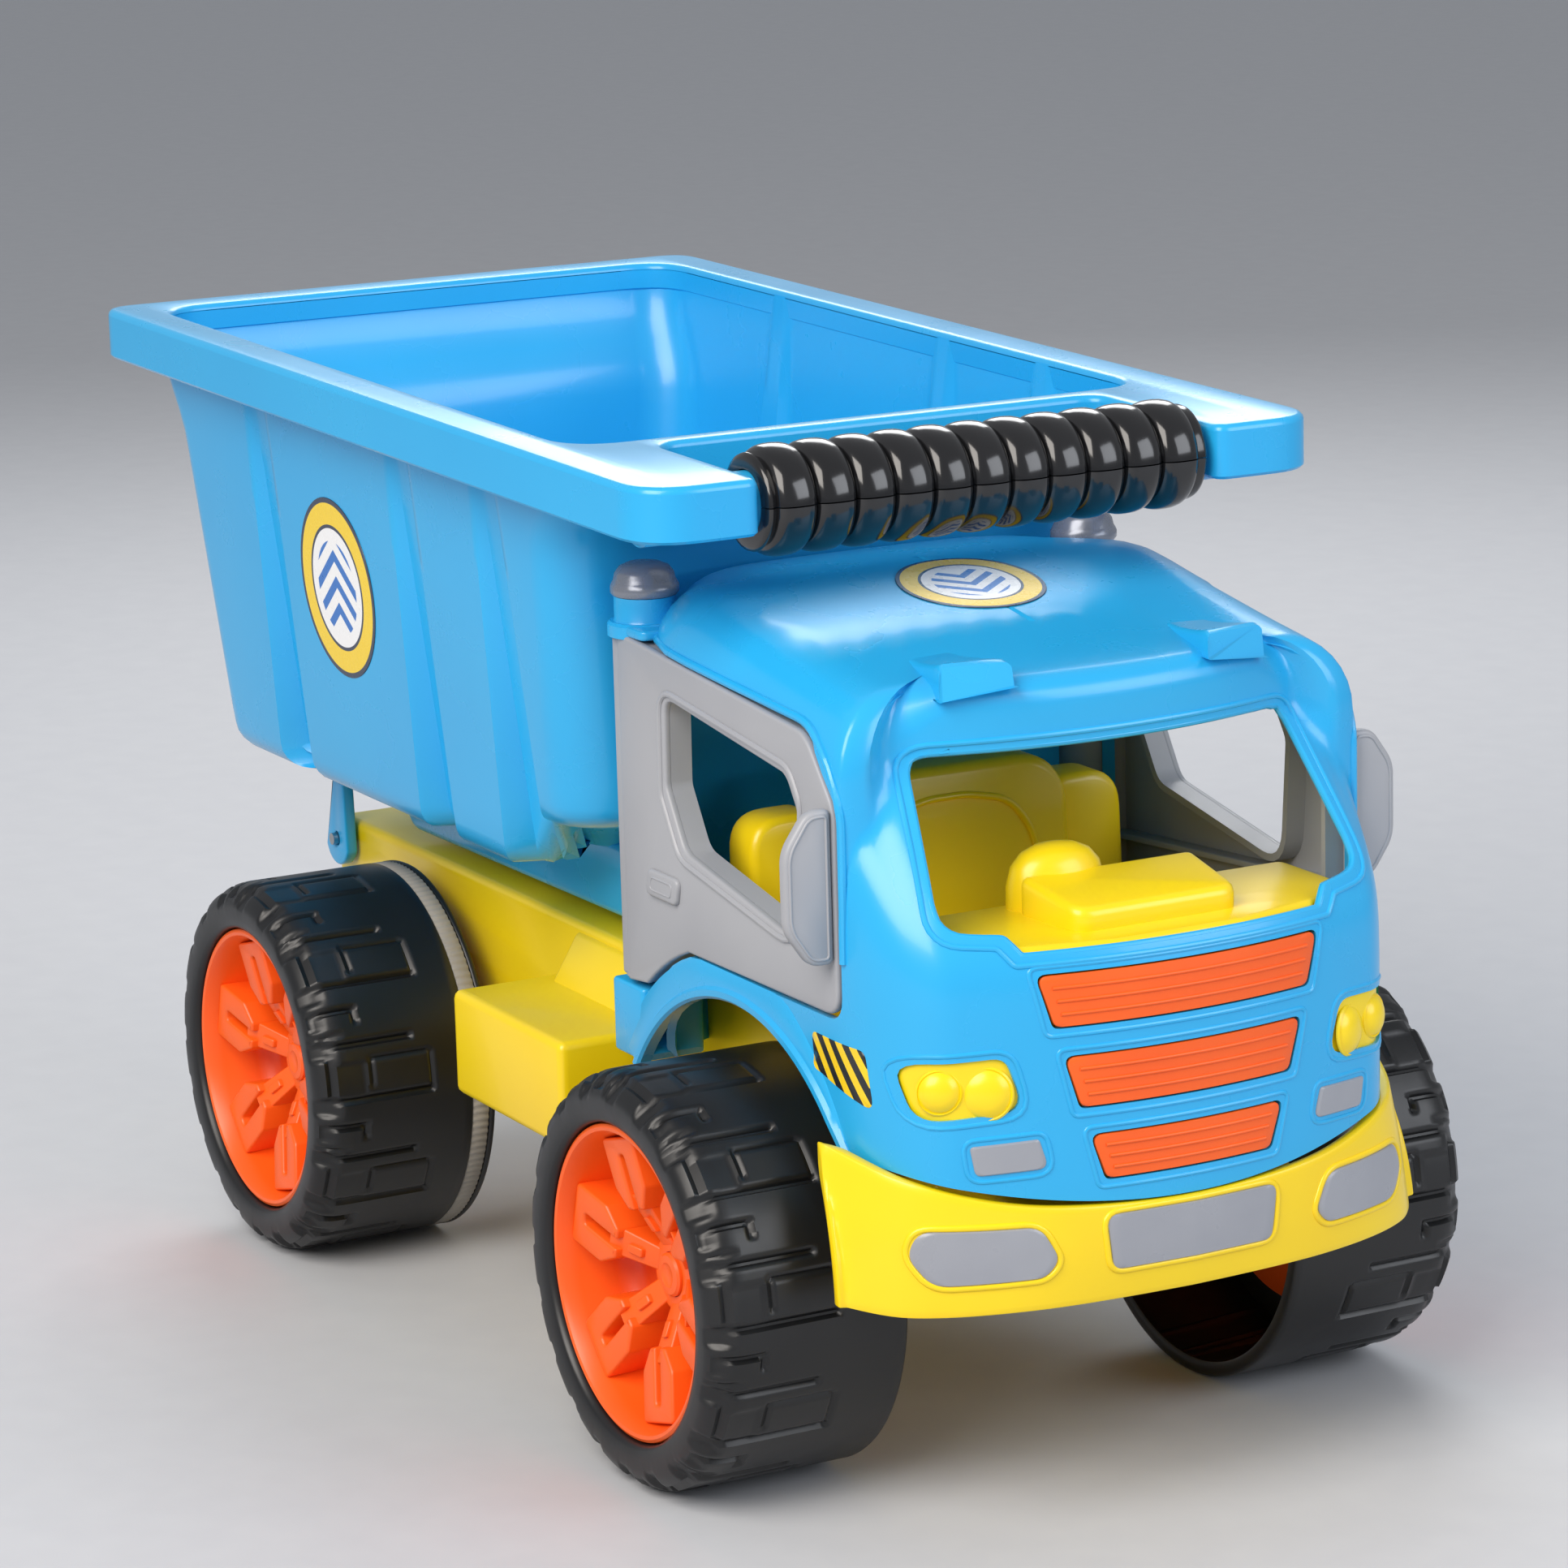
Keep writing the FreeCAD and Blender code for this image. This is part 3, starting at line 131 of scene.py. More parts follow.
# warm strong yellow
yellowPlastic = mouldedPlastic("mouldedPolypropyleneYellow", {
    "colour": "FADA12", "shade": "F6D00C", "driftMm": 80, "wearMm": 40, "skinMm": 9.0, "skin": 0.03,
    "rough": 0.30, "coat": 0.10})
# slightly softer sheen than the blue, saturated orange-red
orangePlastic = mouldedPlastic("mouldedPolypropyleneOrange", {
    "colour": "F96516", "shade": "F45D13", "driftMm": 60, "wearMm": 20, "skinMm": 3.5, "skin": 0.04,
    "rough": 0.36})
# near-black polythene with a satin bloom, so edges read grey against the tread
blackPlastic = mouldedPlastic("blownPolytheneBlack", {
    "colour": "141517", "shade": "101113", "driftMm": 40, "wearMm": 12, "skinMm": 2.2, "skin": 0.05,
    "rough": 0.36})
# the handle is polished, with sharp small highlights along each rib
handleBlack = mouldedPlastic("polishedAbsBlack", {
    "colour": "18181A", "shade": "121214", "driftMm": 30, "wearMm": 15, "skinMm": 2.5, "skin": 0.02,
    "rough": 0.16, "coat": 0.3})
# cool mid grey with a dull even sheen
greyPlastic = mouldedPlastic("mouldedAbsGrey", {
    "colour": "A6A8AD", "shade": "9EA0A6", "driftMm": 70, "wearMm": 18, "skinMm": 2.2, "skin": 0.05,
    "rough": 0.40})
# a cooler, glossier grey than the doors, so the lamps catch a highlight
lampGrey = mouldedPlastic("mouldedAbsLampGrey", {
    "colour": "9B9EA6", "shade": "93969F", "driftMm": 30, "wearMm": 12, "skinMm": 2.0, "skin": 0.06,
    "rough": 0.28, "coat": 0.2})
# silvery lacquer
capSilver = mouldedPlastic("lacquerSilverOnAbs", {
    "colour": "8C919B", "shade": "838893", "driftMm": 12, "wearMm": 6, "skinMm": 1.2, "skin": 0.06,
    "rough": 0.26, "metal": 0.35})
# soft matt ring, dull enough to look like rubber beside the tyre
gripRubber = mouldedPlastic("thermoplasticRubberGrey", {
    "colour": "9C978F", "shade": "918C85", "driftMm": 15, "wearMm": 6, "skinMm": 1.0, "skin": 0.2,
    "rough": 0.62})
# bright plated ends that sparkle behind the wheels
steelBright = mouldedPlastic("zincPlatedSteel", {
    "colour": "B9BBBD", "shade": "A9ABAE", "driftMm": 8, "wearMm": 3, "skinMm": 0.6, "skin": 0.15,
    "rough": 0.30, "metal": 1.0})

looks = {
    "blue_plastic": bluePlastic, "yellow_plastic": yellowPlastic, "orange_plastic": orangePlastic,
    "black_plastic": blackPlastic, "handle_black": handleBlack, "grey_plastic": greyPlastic,
    "lamp_grey": lampGrey, "cap_silver": capSilver, "grip_rubber": gripRubber, "steel": steelBright,
}
print("materials ready")


def makeMesh(name, points, faces):
    mesh = bpy.data.meshes.new(name)
    mesh.from_pydata([tuple(c * mm for c in p) for p in points], [], faces)
    work = bmesh.new()
    work.from_mesh(mesh)
    bmesh.ops.remove_doubles(work, verts=work.verts, dist=0.00001)
    bmesh.ops.recalc_face_normals(work, faces=work.faces)
    work.to_mesh(mesh)
    work.free()
    made = bpy.data.objects.new(name, mesh)
    bpy.context.scene.collection.objects.link(made)
    return made


# writes an object's modifiers into its mesh
def freeze(made):
    graph = bpy.context.evaluated_depsgraph_get()
    mesh = bpy.data.meshes.new_from_object(made.evaluated_get(graph))
    made.modifiers.clear()
    made.data = mesh
    return made


# one object out of several, all at the world origin
def join(name, parts):
    work = bmesh.new()
    for part in parts:
        work.from_mesh(part.data)
        bpy.data.objects.remove(part)
    mesh = bpy.data.meshes.new(name)
    work.to_mesh(mesh)
    work.free()
    made = bpy.data.objects.new(name, mesh)
    bpy.context.scene.collection.objects.link(made)
    return made


def dress(made, slotName, body, nodes=(), angle=38, look=None):
    mesh = made.data
    mesh.materials.clear()
    mesh.materials.append(look or looks[slotName])
    mesh.polygons.foreach_set("use_smooth", [True] * len(mesh.polygons))
    mesh.set_sharp_from_angle(angle=math.radians(angle))
    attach(made, body)
    if nodes:
        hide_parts(*nodes)
    return made


# outline points from (u, v, radius) corners: the same count for every corner
def roundCorners(corners, steps=6):
    made = []
    count = len(corners)
    for i, (u, v, radius) in enumerate(corners):
        here = Vector((u, v))
        back = Vector(corners[i - 1][:2]) - here
        ahead = Vector(corners[(i + 1) % count][:2]) - here
        half = back.angle(ahead) / 2
        cut = min(radius / max(math.tan(half), 1e-4), back.length * 0.48, ahead.length * 0.48)
        start = here + back.normalized() * cut
        end = here + ahead.normalized() * cut
        for k in range(steps + 1):
            t = k / steps
            bend = start * (1 - t) ** 2 + here * 2 * t * (1 - t) + end * t ** 2
            made.append((bend.x, bend.y))
    return made


def loft(name, rings, capLow=True, capHigh=True):
    points = [p for ring in rings for p in ring]
    count = len(rings[0])
    faces = []
    for level in range(len(rings) - 1):
        for i in range(count):
            j = (i + 1) % count
            a, b = level * count, (level + 1) * count
            faces.append((a + i, a + j, b + j, b + i))
    if capLow:
        faces.append(tuple(range(count)))
    if capHigh:
        faces.append(tuple(range((len(rings) - 1) * count, len(rings) * count)))
    return makeMesh(name, points, faces)


# an open grid of quads from rows of points
def sheet(name, rows, closed=False):
    count = len(rows[0])
    faces = []
    for level in range(len(rows) - 1):
        for i in range(count if closed else count - 1):
            j = (i + 1) % count
            a, b = level * count, (level + 1) * count
            faces.append((a + i, a + j, b + j, b + i))
    return makeMesh(name, [p for row in rows for p in row], faces)


# a flat piece with rounded edges and holes: outline in (u, v), thickness from low to high
def plate(name, outline, holes, low, high, edge, place):
    curve = bpy.data.curves.new(name, "CURVE")
    curve.dimensions = "2D"
    curve.fill_mode = "BOTH"
    curve.extrude = (high - low) / 2 - edge
    curve.bevel_depth = edge
    curve.bevel_resolution = 2
    curve.offset = -edge
    for ring in [outline] + list(holes):
        spline = curve.splines.new("POLY")
        spline.points.add(len(ring) - 1)
        for point, (u, v) in zip(spline.points, ring):
            point.co = (u, v, 0, 1)
        spline.use_cyclic_u = True
    temp = bpy.data.objects.new(name, curve)
    bpy.context.scene.collection.objects.link(temp)
    graph = bpy.context.evaluated_depsgraph_get()
    mesh = bpy.data.meshes.new_from_object(temp.evaluated_get(graph))
    middle = (low + high) / 2
    points = [place(v.co.x, v.co.y, v.co.z + middle) for v in mesh.vertices]
    faces = [tuple(p.vertices) for p in mesh.polygons]
    bpy.data.objects.remove(temp)
    return makeMesh(name, points, faces)


# a closed bar along a closed outline: profile is (inset, height) pairs
def sweepLoop(name, outline, profile, place):
    count = len(outline)
    area = sum(outline[i - 1][0] * outline[i][1] - outline[i][0] * outline[i - 1][1]
               for i in range(count))
    turn = 1 if area > 0 else -1
    rows = []
    for i in range(count):
        u, v = outline[i]
        before, after = Vector(outline[i - 1]), Vector(outline[(i + 1) % count])
        here = Vector((u, v))
        first = (here - before).normalized()
        second = (after - here).normalized()
        along = first + second
        if along.length < 1e-6:
            along = second
        along.normalize()
        inward = Vector((-along.y, along.x)) * turn
        stretch = 1 / max(0.5, inward.dot(Vector((-second.y, second.x)) * turn))
        rows.append([place(u + inward.x * d * stretch, v + inward.y * d * stretch, w)
                     for d, w in profile])
    rows.append(rows[0])
    return sheet(name, rows, closed=True)


# turns a closed (radius, y) profile about an axle along Y
def revolve(name, profile, x, z, steps=96, sign=1, start=0.0, turn=2 * math.pi, wave=None):
    rows = []
    closed = abs(turn - 2 * math.pi) < 1e-6
    for k in range(steps + 1):
        angle = start + turn * k / steps
        row = []
        for radius, y in profile:
            r = radius - (wave(angle, y, radius) if wave else 0)
            row.append((x + r * math.cos(angle), sign * y, z + r * math.sin(angle)))
        rows.append(row)
    if closed:
        rows[-1] = rows[0]
    made = sheet(name, rows, closed=True)
    if not closed:
        work = bmesh.new()
        work.from_mesh(made.data)
        bmesh.ops.holes_fill(work, edges=[e for e in work.edges if e.is_boundary])
        bmesh.ops.recalc_face_normals(work, faces=work.faces)
        work.to_mesh(made.data)
        work.free()
    return made


# a round bead along a path of points
def tube(name, path, radius, closed=False, segments=3):
    curve = bpy.data.curves.new(name, "CURVE")
    curve.dimensions = "3D"
    curve.bevel_depth = radius * mm
    curve.bevel_resolution = segments
    curve.use_fill_caps = True
    spline = curve.splines.new("POLY")
    spline.points.add(len(path) - 1)
    for point, place in zip(spline.points, path):
        point.co = (*[c * mm for c in place], 1)
    spline.use_cyclic_u = closed
    temp = bpy.data.objects.new(name, curve)
    bpy.context.scene.collection.objects.link(temp)
    graph = bpy.context.evaluated_depsgraph_get()
    mesh = bpy.data.meshes.new_from_object(temp.evaluated_get(graph))
    bpy.data.objects.remove(temp)
    made = bpy.data.objects.new(name, mesh)
    bpy.context.scene.collection.objects.link(made)
    return made


# takes the cutters out of a closed piece
def carve(made, cutters):
    tool = join(made.name + "Cutter", cutters)
    cut = made.modifiers.new("cut", "BOOLEAN")
    cut.operation = "DIFFERENCE"
    cut.solver = "EXACT"
    cut.object = tool
    freeze(made)
    bpy.data.objects.remove(tool)
    return made


def soften(made, edge, angle=40, segments=2):
    bevel = made.modifiers.new("edge", "BEVEL")
    bevel.width = edge * mm
    bevel.segments = segments
    bevel.limit_method = "ANGLE"
    bevel.angle_limit = math.radians(angle)
    return freeze(made)


# places for plate: lying flat, and standing along the truck's length
def upwards(u, v, w):
    return (u, v, w)


def sideways(u, v, w):
    return (u, w, v)


# a block with rounded edges
def brick(name, x0, x1, y0, y1, z0, z1, edge):
    corners = roundCorners([(x0, y0, edge), (x1, y0, edge), (x1, y1, edge), (x0, y1, edge)], 4)
    return plate(name, corners, [], z0, z1, min(edge * 0.7, (z1 - z0) * 0.45), upwards)


wheel = {
    "lugs": 10, "deep": 1.6, "shoulder": 52, "shoulderFade": 4, "plainBand": 11, "soft": 0.4,
    "notchDeep": 2.0, "notchWide": 4.6, "notchIn": 6.0, "notchPitch": 18.85, "notchShift": 9.4,
    "notchMiddle": 9.42, "notchFade": 1.2, "notchEnd": 1.5,
    "treadFrom": 11.2, "treadTo": 49.0, "rowGap": 0.8, "steps": 480,
    "ringIn": 2.0, "ringWide": 6.0, "ringDeep": 2.0, "ringRibs": 150, "ringRibDeep": 0.45, "ringSteps": 600,
    "frontSpin": 0.35, "rearSpin": 0.1,
}
# grooves of one lug: from and to along the tread, from and to in from the sidewall, depth
lugGrooves = [
    (1.0, 2.9, 2.5, 39, 1.0), (1.0, 20.5, 3.5, 5.4, 0.9), (18.9, 20.8, 2.5, 33, 1.0),
    (5.5, 15.0, 17.5, 18.7, 0.6), (14.0, 15.2, 17.5, 38, 0.6), (2.9, 14.5, 38, 39.2, 0.5),
    (3.0, 14.0, 7.5, 16.0, 0.35), (30.0, 31.8, 1.5, 16, 1.0), (25.8, 31.8, 1.5, 3.4, 0.9),
    (26.5, 31.8, 14.5, 16.2, 0.9), (22.5, 24.0, 0.5, 8.5, 0.7),
]


def treadDepth(angle, y, radius):
    if radius < wheel["shoulder"] or y < truck["tyreIn"] + wheel["plainBand"]:
        return 0.0
    around = (angle * truck["tyreRound"]) % (2 * math.pi * truck["tyreRound"] / wheel["lugs"])
    across = truck["tyreOut"] - y
    # two open notches per lug scallop the shoulder
    off = abs((around + wheel["notchShift"]) % wheel["notchPitch"] - wheel["notchMiddle"])
    off -= wheel["notchWide"] / 2
    fade = wheel["notchFade"]
    notch = clamped((fade - off) / fade) * clamped((wheel["notchIn"] - across) / wheel["notchEnd"])
    rise = min(1.0, (radius - wheel["shoulder"]) / wheel["shoulderFade"])
    deepest = notch * wheel["notchDeep"] / wheel["deep"] * rise
    soft = wheel["soft"]
    for a0, a1, q0, q1, share in lugGrooves:
        inA = min(around - a0, a1 - around)
        inQ = min(across - q0, q1 - across)
        if inA > -soft and inQ > -soft:
            edge = min(1.0, (min(inA, inQ) + soft) / (2 * soft))
            deepest = max(deepest, edge * share)
    return deepest * wheel["deep"]


# (radius, y) round the tyre's section: bead, sidewall, shoulder, tread, the grip ring's seat, inner wall
def tyreProfile(withRing):
    out, high, inner = truck["tyreOut"], truck["tyreRound"], truck["tyreIn"]
    made = [(48.6, out - 22.5), (45.9, out - 22), (45.7, out - 19), (45.7, out - 3.0), (46.1, out - 1.2),
            (47.2, out - 0.5), (49.5, out - 0.1), (52.5, out)]
    for k in range(1, 9):
        t = k / 8 * math.pi / 2
        made.append((52.5 + (high - 52.5) * math.sin(t), out - 10.5 * (1 - math.cos(t))))
    across = wheel["treadFrom"]
    while across < wheel["treadTo"]:
        made.append((high, out - across))
        across += wheel["rowGap"]
    if withRing:
        low = inner + wheel["ringIn"]
        top = low + wheel["ringWide"]
        deep = high - wheel["ringDeep"]
        made += [(high, top + 0.4), (high - 0.3, top), (deep, top), (deep, low), (high - 0.3, low),
                 (high, low - 0.4)]
    else:
        made += [(high, inner + 8), (high, inner + 3)]
    made += [(high, inner + 0.8), (high - 0.3, inner + 0.2), (high - 1, inner), (56.5, inner),
             (55.6, inner + 0.6), (54.5, out - 22.5)]
    return made


def makeWheel(end, hand, sign, x):
    body = f"{end}_{hand}_wheel"
    spin = wheel["frontSpin"] if end == "front" else wheel["rearSpin"]
    tyre = revolve(f"tyre_{end}_{hand}.look", tyreProfile(end == "rear"), x, axleHigh, wheel["steps"],
                   sign, spin, wave=treadDepth)
    dress(tyre, "black_plastic", body, [f"tyre_{end}_{hand}"], angle=50)
    if end == "rear":
        low = truck["tyreIn"] + wheel["ringIn"] + 0.15
        top = low + wheel["ringWide"] - 0.3
        high = truck["tyreRound"]
        band = [(high - 1.9, low), (high - 0.4, low), (high - 0.1, low + 0.3), (high - 0.1, top - 0.3),
                (high - 0.4, top), (high - 1.9, top)]

        def ribs(angle, y, radius):
            if radius < high - 0.5:
                return 0
            return wheel["ringRibDeep"] * (0.5 + 0.5 * math.cos(angle * wheel["ringRibs"]))
        ring = revolve(f"gripRing_{hand}", band, x, axleHigh, wheel["ringSteps"], sign, wave=ribs)
        dress(ring, "grip_rubber", body, [f"grip_ring_rear_{hand}"], angle=60)
    makeRim(end, hand, sign, x, body)


rim = {"face": 121.7, "floor": 98.0, "hub": 106.3, "spokes": 6, "firstDeg": 45, "holeOut": 19.5,
       "holeLong": 4.6, "holeWide": 4.2, "blockLean": 0.14, "neckRise": 0.52, "slotRise": 0.5}


def makeRim(end, hand, sign, x, body):
    face, floor, hub = rim["face"], rim["floor"], rim["hub"]
    dish = [(3.1, 58.5), (8.6, 58.5), (9, 59), (9, floor - 3), (26, floor - 3), (43.5, floor + 0.5),
            (45.4, floor + 3), (45.5, face - 1.5), (45.1, face - 0.5), (44.2, face), (43.2, face - 0.3),
            (42.4, face - 1.6), (41.2, face - 6), (39.8, floor + 7), (38.2, floor + 2.4), (35.5, floor + 0.4),
            (32, floor), (16, floor), (12.5, floor + 0.5), (11.4, floor + 2), (11.2, hub - 1),
            (10.6, hub - 0.2), (9.8, hub), (6.5, hub), (6.5, 101.7), (3.1, 101.7)]
    made = revolve(f"rim_{end}_{hand}.look", dish, x, axleHigh, 120, sign)
    holes = []
    for k in range(rim["spokes"]):
        angle = math.radians(rim["firstDeg"] + 30 + 60 * k)
        centre = (x + rim["holeOut"] * math.cos(angle), axleHigh + rim["holeOut"] * math.sin(angle))
        ring = []
        for t in circle(24):
            along, side = rim["holeLong"] * math.cos(t), rim["holeWide"] * math.sin(t)
            ring.append((centre[0] + along * math.cos(angle) - side * math.sin(angle),
                         centre[1] + along * math.sin(angle) + side * math.cos(angle)))
        low, high = sorted((sign * (floor - 8), sign * (floor + 5)))
        holes.append(loft("hole", [[(u, low, v) for u, v in ring], [(u, high, v) for u, v in ring]]))
    carve(made, holes)
    parts = [made]
    for k in range(rim["spokes"]):
        angle = math.radians(rim["firstDeg"] + 60 * k)
        up, side = (math.cos(angle), math.sin(angle)), (-math.sin(angle), math.cos(angle))

        def onWheel(u, v, w, up=up, side=side):
            return (x + v * up[0] + u * side[0], sign * w, axleHigh + v * up[1] + u * side[1])
        block = roundCorners([(-9.4, 40.5, 1.5), (-9.4, 26, 2.5), (-4.6, 19.5, 1.5), (-1.7, 19.5, 0.5),
                              (-1.7, 35.5, 1.2), (1.7, 35.5, 1.2), (1.7, 19.5, 0.5), (4.6, 19.5, 1.5),
                              (9.4, 26, 2.5), (9.4, 40.5, 1.5)], 3)

        def blockPlace(u, v, w, base=onWheel):
            lean = (v - 40) * rim["blockLean"] if w > 108 else 0
            return base(u, v, w + lean)
        parts.append(plate("spokeBlock", block, [], floor - 0.5, face - 4.2, 0.9, blockPlace))
        neck = roundCorners([(-3.6, 7.5, 0.5), (3.6, 7.5, 0.5), (4.5, 21, 0.8), (4.5, 24, 0.5),
                             (-4.5, 24, 0.5), (-4.5, 21, 0.8)], 2)

        def neckPlace(u, v, w, base=onWheel):
            rise = (v - 10) * rim["neckRise"] if w > 103 else 0
            return base(u, v, w + rise)
        parts.append(plate("spokeNeck", neck, [], floor - 0.5, hub + 0.9, 0.8, neckPlace))
        lug = roundCorners([(-1.4, 12.5, 0.6), (1.4, 12.5, 0.6), (1.4, 17, 0.6), (-1.4, 17, 0.6)], 2)
        parts.append(plate("hubSlotEdge", lug, [], hub, hub + 3.6, 0.5,
                           lambda u, v, w, base=onWheel: base(u, v, w + (v - 12.5) * rim["slotRise"])))
    whole = join(f"rim_{end}_{hand}.look", parts)
    dress(whole, "orange_plastic", body, [f"rim_{end}_{hand}"])
    cap = [(0.01, 102.6), (6.3, 102.6), (6.3, hub + 0.8), (5.6, hub + 1.5), (3.6, hub + 1.7),
           (3.0, hub + 1.2), (0.01, hub + 1.1)]
    button = revolve(f"hubCap_{end}_{hand}", cap, x, axleHigh, 48, sign)
    dress(button, "orange_plastic", body, [f"hub_cap_{end}_{hand}"])


for wheelEnd, wheelX in (("front", frontAxle), ("rear", rearAxle)):
    for wheelHand, wheelSign in (("left", 1), ("right", -1)):
        makeWheel(wheelEnd, wheelHand, wheelSign, wheelX)
print("wheels made")


chassis = {"half": 55, "top": 121, "low": 50, "wall": 3, "tailBack": 79, "tailDeep": 25, "nose": 205,
           "noseLift": 19, "stepHalf": 95, "stepFrom": -168, "stepTo": -92, "stepLow": 71, "stepHigh": 104}


def makeChassis():
    top, low, half, wall = chassis["top"], chassis["low"], chassis["half"], chassis["wall"]
    tail, tailLow = rearAxle - chassis["tailBack"], top - chassis["tailDeep"]
    nose, noseLow = chassis["nose"], low + chassis["noseLift"]
    outline = roundCorners([(tail, tailLow, 6), (tail, top, 6), (nose, top, 3), (nose, noseLow, 4),
                            (frontAxle + 24, noseLow, 6), (frontAxle + 12, low, 6), (rearAxle - 40, low, 4),
                            (rearAxle - 40, tailLow, 8)], 4)
    shell = plate("chassisShell", outline, [], -half, half, 2.4, sideways)
    hollow = brick("hollow", rearAxle - 37, 200, -half + wall, half - wall, low - 8, top - wall, 2)
    tailHollow = brick("tailHollow", tail + wall, rearAxle - 30, -half + wall, half - wall, top - 33,
                       top - wall, 2)
    carve(shell, [hollow])
    carve(shell, [tailHollow])
    parts = [shell]
    for sign in (1, -1):
        x0, x1 = frontAxle + chassis["stepFrom"], frontAxle + chassis["stepTo"]
        inner, outer = sorted((sign * (half - 2), sign * chassis["stepHalf"]))
        box = roundCorners([(x0, inner, 3), (x1, inner, 3), (x1, outer, 3), (x0, outer, 3)], 4)
        step = plate("step", box, [], chassis["stepLow"], chassis["stepHigh"], 2.6, upwards)
        room0, room1 = sorted((sign * half, sign * (chassis["stepHalf"] - wall)))
        room = brick("room", x0 + wall, x1 - wall, room0, room1, 60, 100, 1.5)
        carve(step, [room])
        parts.append(step)
        # side rails swell out in a soft wedge above the steps
        wedge = roundCorners([(half - 2, 100, 1), (half + 12, 100, 3), (half + 1, top - 3, 3),
                              (half - 2, top - 2, 1)], 3)
        parts.append(plate("rail", wedge, [], x0 + 8, x1 + 10, 2,
                           lambda u, v, w, sign=sign: (w, sign * u, v)))
    tongue = roundCorners([(200, -44, 4), (frontAxle + 96, -44, 16), (frontAxle + 96, 44, 16),
                           (200, 44, 4)], 5)
    parts.append(plate("tongue", tongue, [], 78, 92, 2, upwards))
    for x in (frontAxle, rearAxle):
        sleeve = [(3.1, -half - 1), (8.2, -half - 1), (9, -half), (9, half), (8.2, half + 1), (3.1, half + 1)]
        parts.append(revolve("sleeve", sleeve, x, axleHigh, 40))
    whole = join("chassis.look", parts)
    dress(whole, "yellow_plastic", "truck", ["chassis_frame"])


makeChassis()
print("chassis made")


cab = {
    "rear": -79.0, "half": 83.0, "front": 105.7, "curve": 180.0, "wall": 2.5, "corner": 44.0,
    "sideEnd": 54, "cornerPull": 71, "bowHalf": 67.0, "bowPullX": 5, "bowPullY": 10.5,
    "seamMid": 93.5, "seamSide": 110.5, "seamHalf": 94, "skirtLow": 104.0,
    "belt": 166.0, "beltSoft": 5.0, "lean": 0.78, "leanFrom": 50, "leanOver": 38, "browLow": 212.0,
    "pillarX": 61.8, "pillarFrom": 64, "pillarOver": 12,
    "crestX": -30.0, "crestZ": 247.5, "crestSoft": 6, "browX": 65.0, "browZ": 232.5, "rearZ": 244.5,
    "crown": 2.2, "crownHalf": 70, "browTurn": 7, "cornerTurn": 13, "roofTurn": 19, "rearTurn": 7,
    "wallRows": 40, "bend": 0.78, "cutFrom": 42, "cutTo": 125, "doorCutIn": 75.5,
    "columnRoom": 9.8, "columnLow": 126.3, "columnHigh": 229.8,
}


# roof height at a point, x from the front axle
def roofHigh(x, y):
    rear = cab["rearZ"] + (x - cab["rear"]) / (cab["crestX"] - cab["rear"]) * (cab["crestZ"] - cab["rearZ"])
    share = (x - cab["crestX"]) / (cab["browX"] - cab["crestX"])
    front = cab["crestZ"] + share * (cab["browZ"] - cab["crestZ"])
    blend = 1 / (1 + math.exp(-(x - cab["crestX"]) / cab["crestSoft"]))
    return rear * (1 - blend) + front * blend - cab["crown"] * (y / cab["crownHalf"]) ** 2


# half outline of the cab seen from above, from the middle of the back to the middle of the front
def cabPlan():
    rear, half, corner = cab["rear"], cab["half"], cab["corner"]
    made = []
    for k in range(7):
        made.append((rear, (half - corner) * k / 6))
    for k in range(1, 13):
        t = k / 12 * math.pi / 2
        made.append((rear + corner * (1 - math.cos(t)), half - corner * (1 - math.sin(t))))
    for k in range(1, 27):
        made.append((rear + corner + (cab["sideEnd"] - rear - corner) * k / 26, half))
    edge = cab["bowHalf"]
    bow = cab["front"] - cab["curve"] + math.sqrt(cab["curve"] ** 2 - edge ** 2)
    p0, p1 = Vector((cab["sideEnd"], half)), Vector((cab["cornerPull"], half))
    p2, p3 = Vector((bow - cab["bowPullX"], edge + cab["bowPullY"])), Vector((bow, edge))
    for k in range(1, 15):
        t = k / 14
        spot = (p0 * (1 - t) ** 3 + p1 * 3 * t * (1 - t) ** 2 + p2 * 3 * t * t * (1 - t) + p3 * t ** 3)
        made.append((spot.x, spot.y))
    for k in range(1, 31):
        y = edge * (1 - k / 30)
        made.append((cab["front"] - cab["curve"] + math.sqrt(cab["curve"] ** 2 - y * y), y))
    return made


def bottomOf(x, y):
    seam = cab["seamMid"] + (cab["seamSide"] - cab["seamMid"]) * (abs(y) / cab["seamHalf"]) ** 2
    if x < cab["rear"] + 5:
        return cab["skirtLow"]
    arch = axleHigh + math.sqrt(max(truck["archRound"] ** 2 - x * x, 0)) if abs(x) < truck["archRound"] else 0
    return max(seam, arch, cab["skirtLow"] if x < 0 else 0)


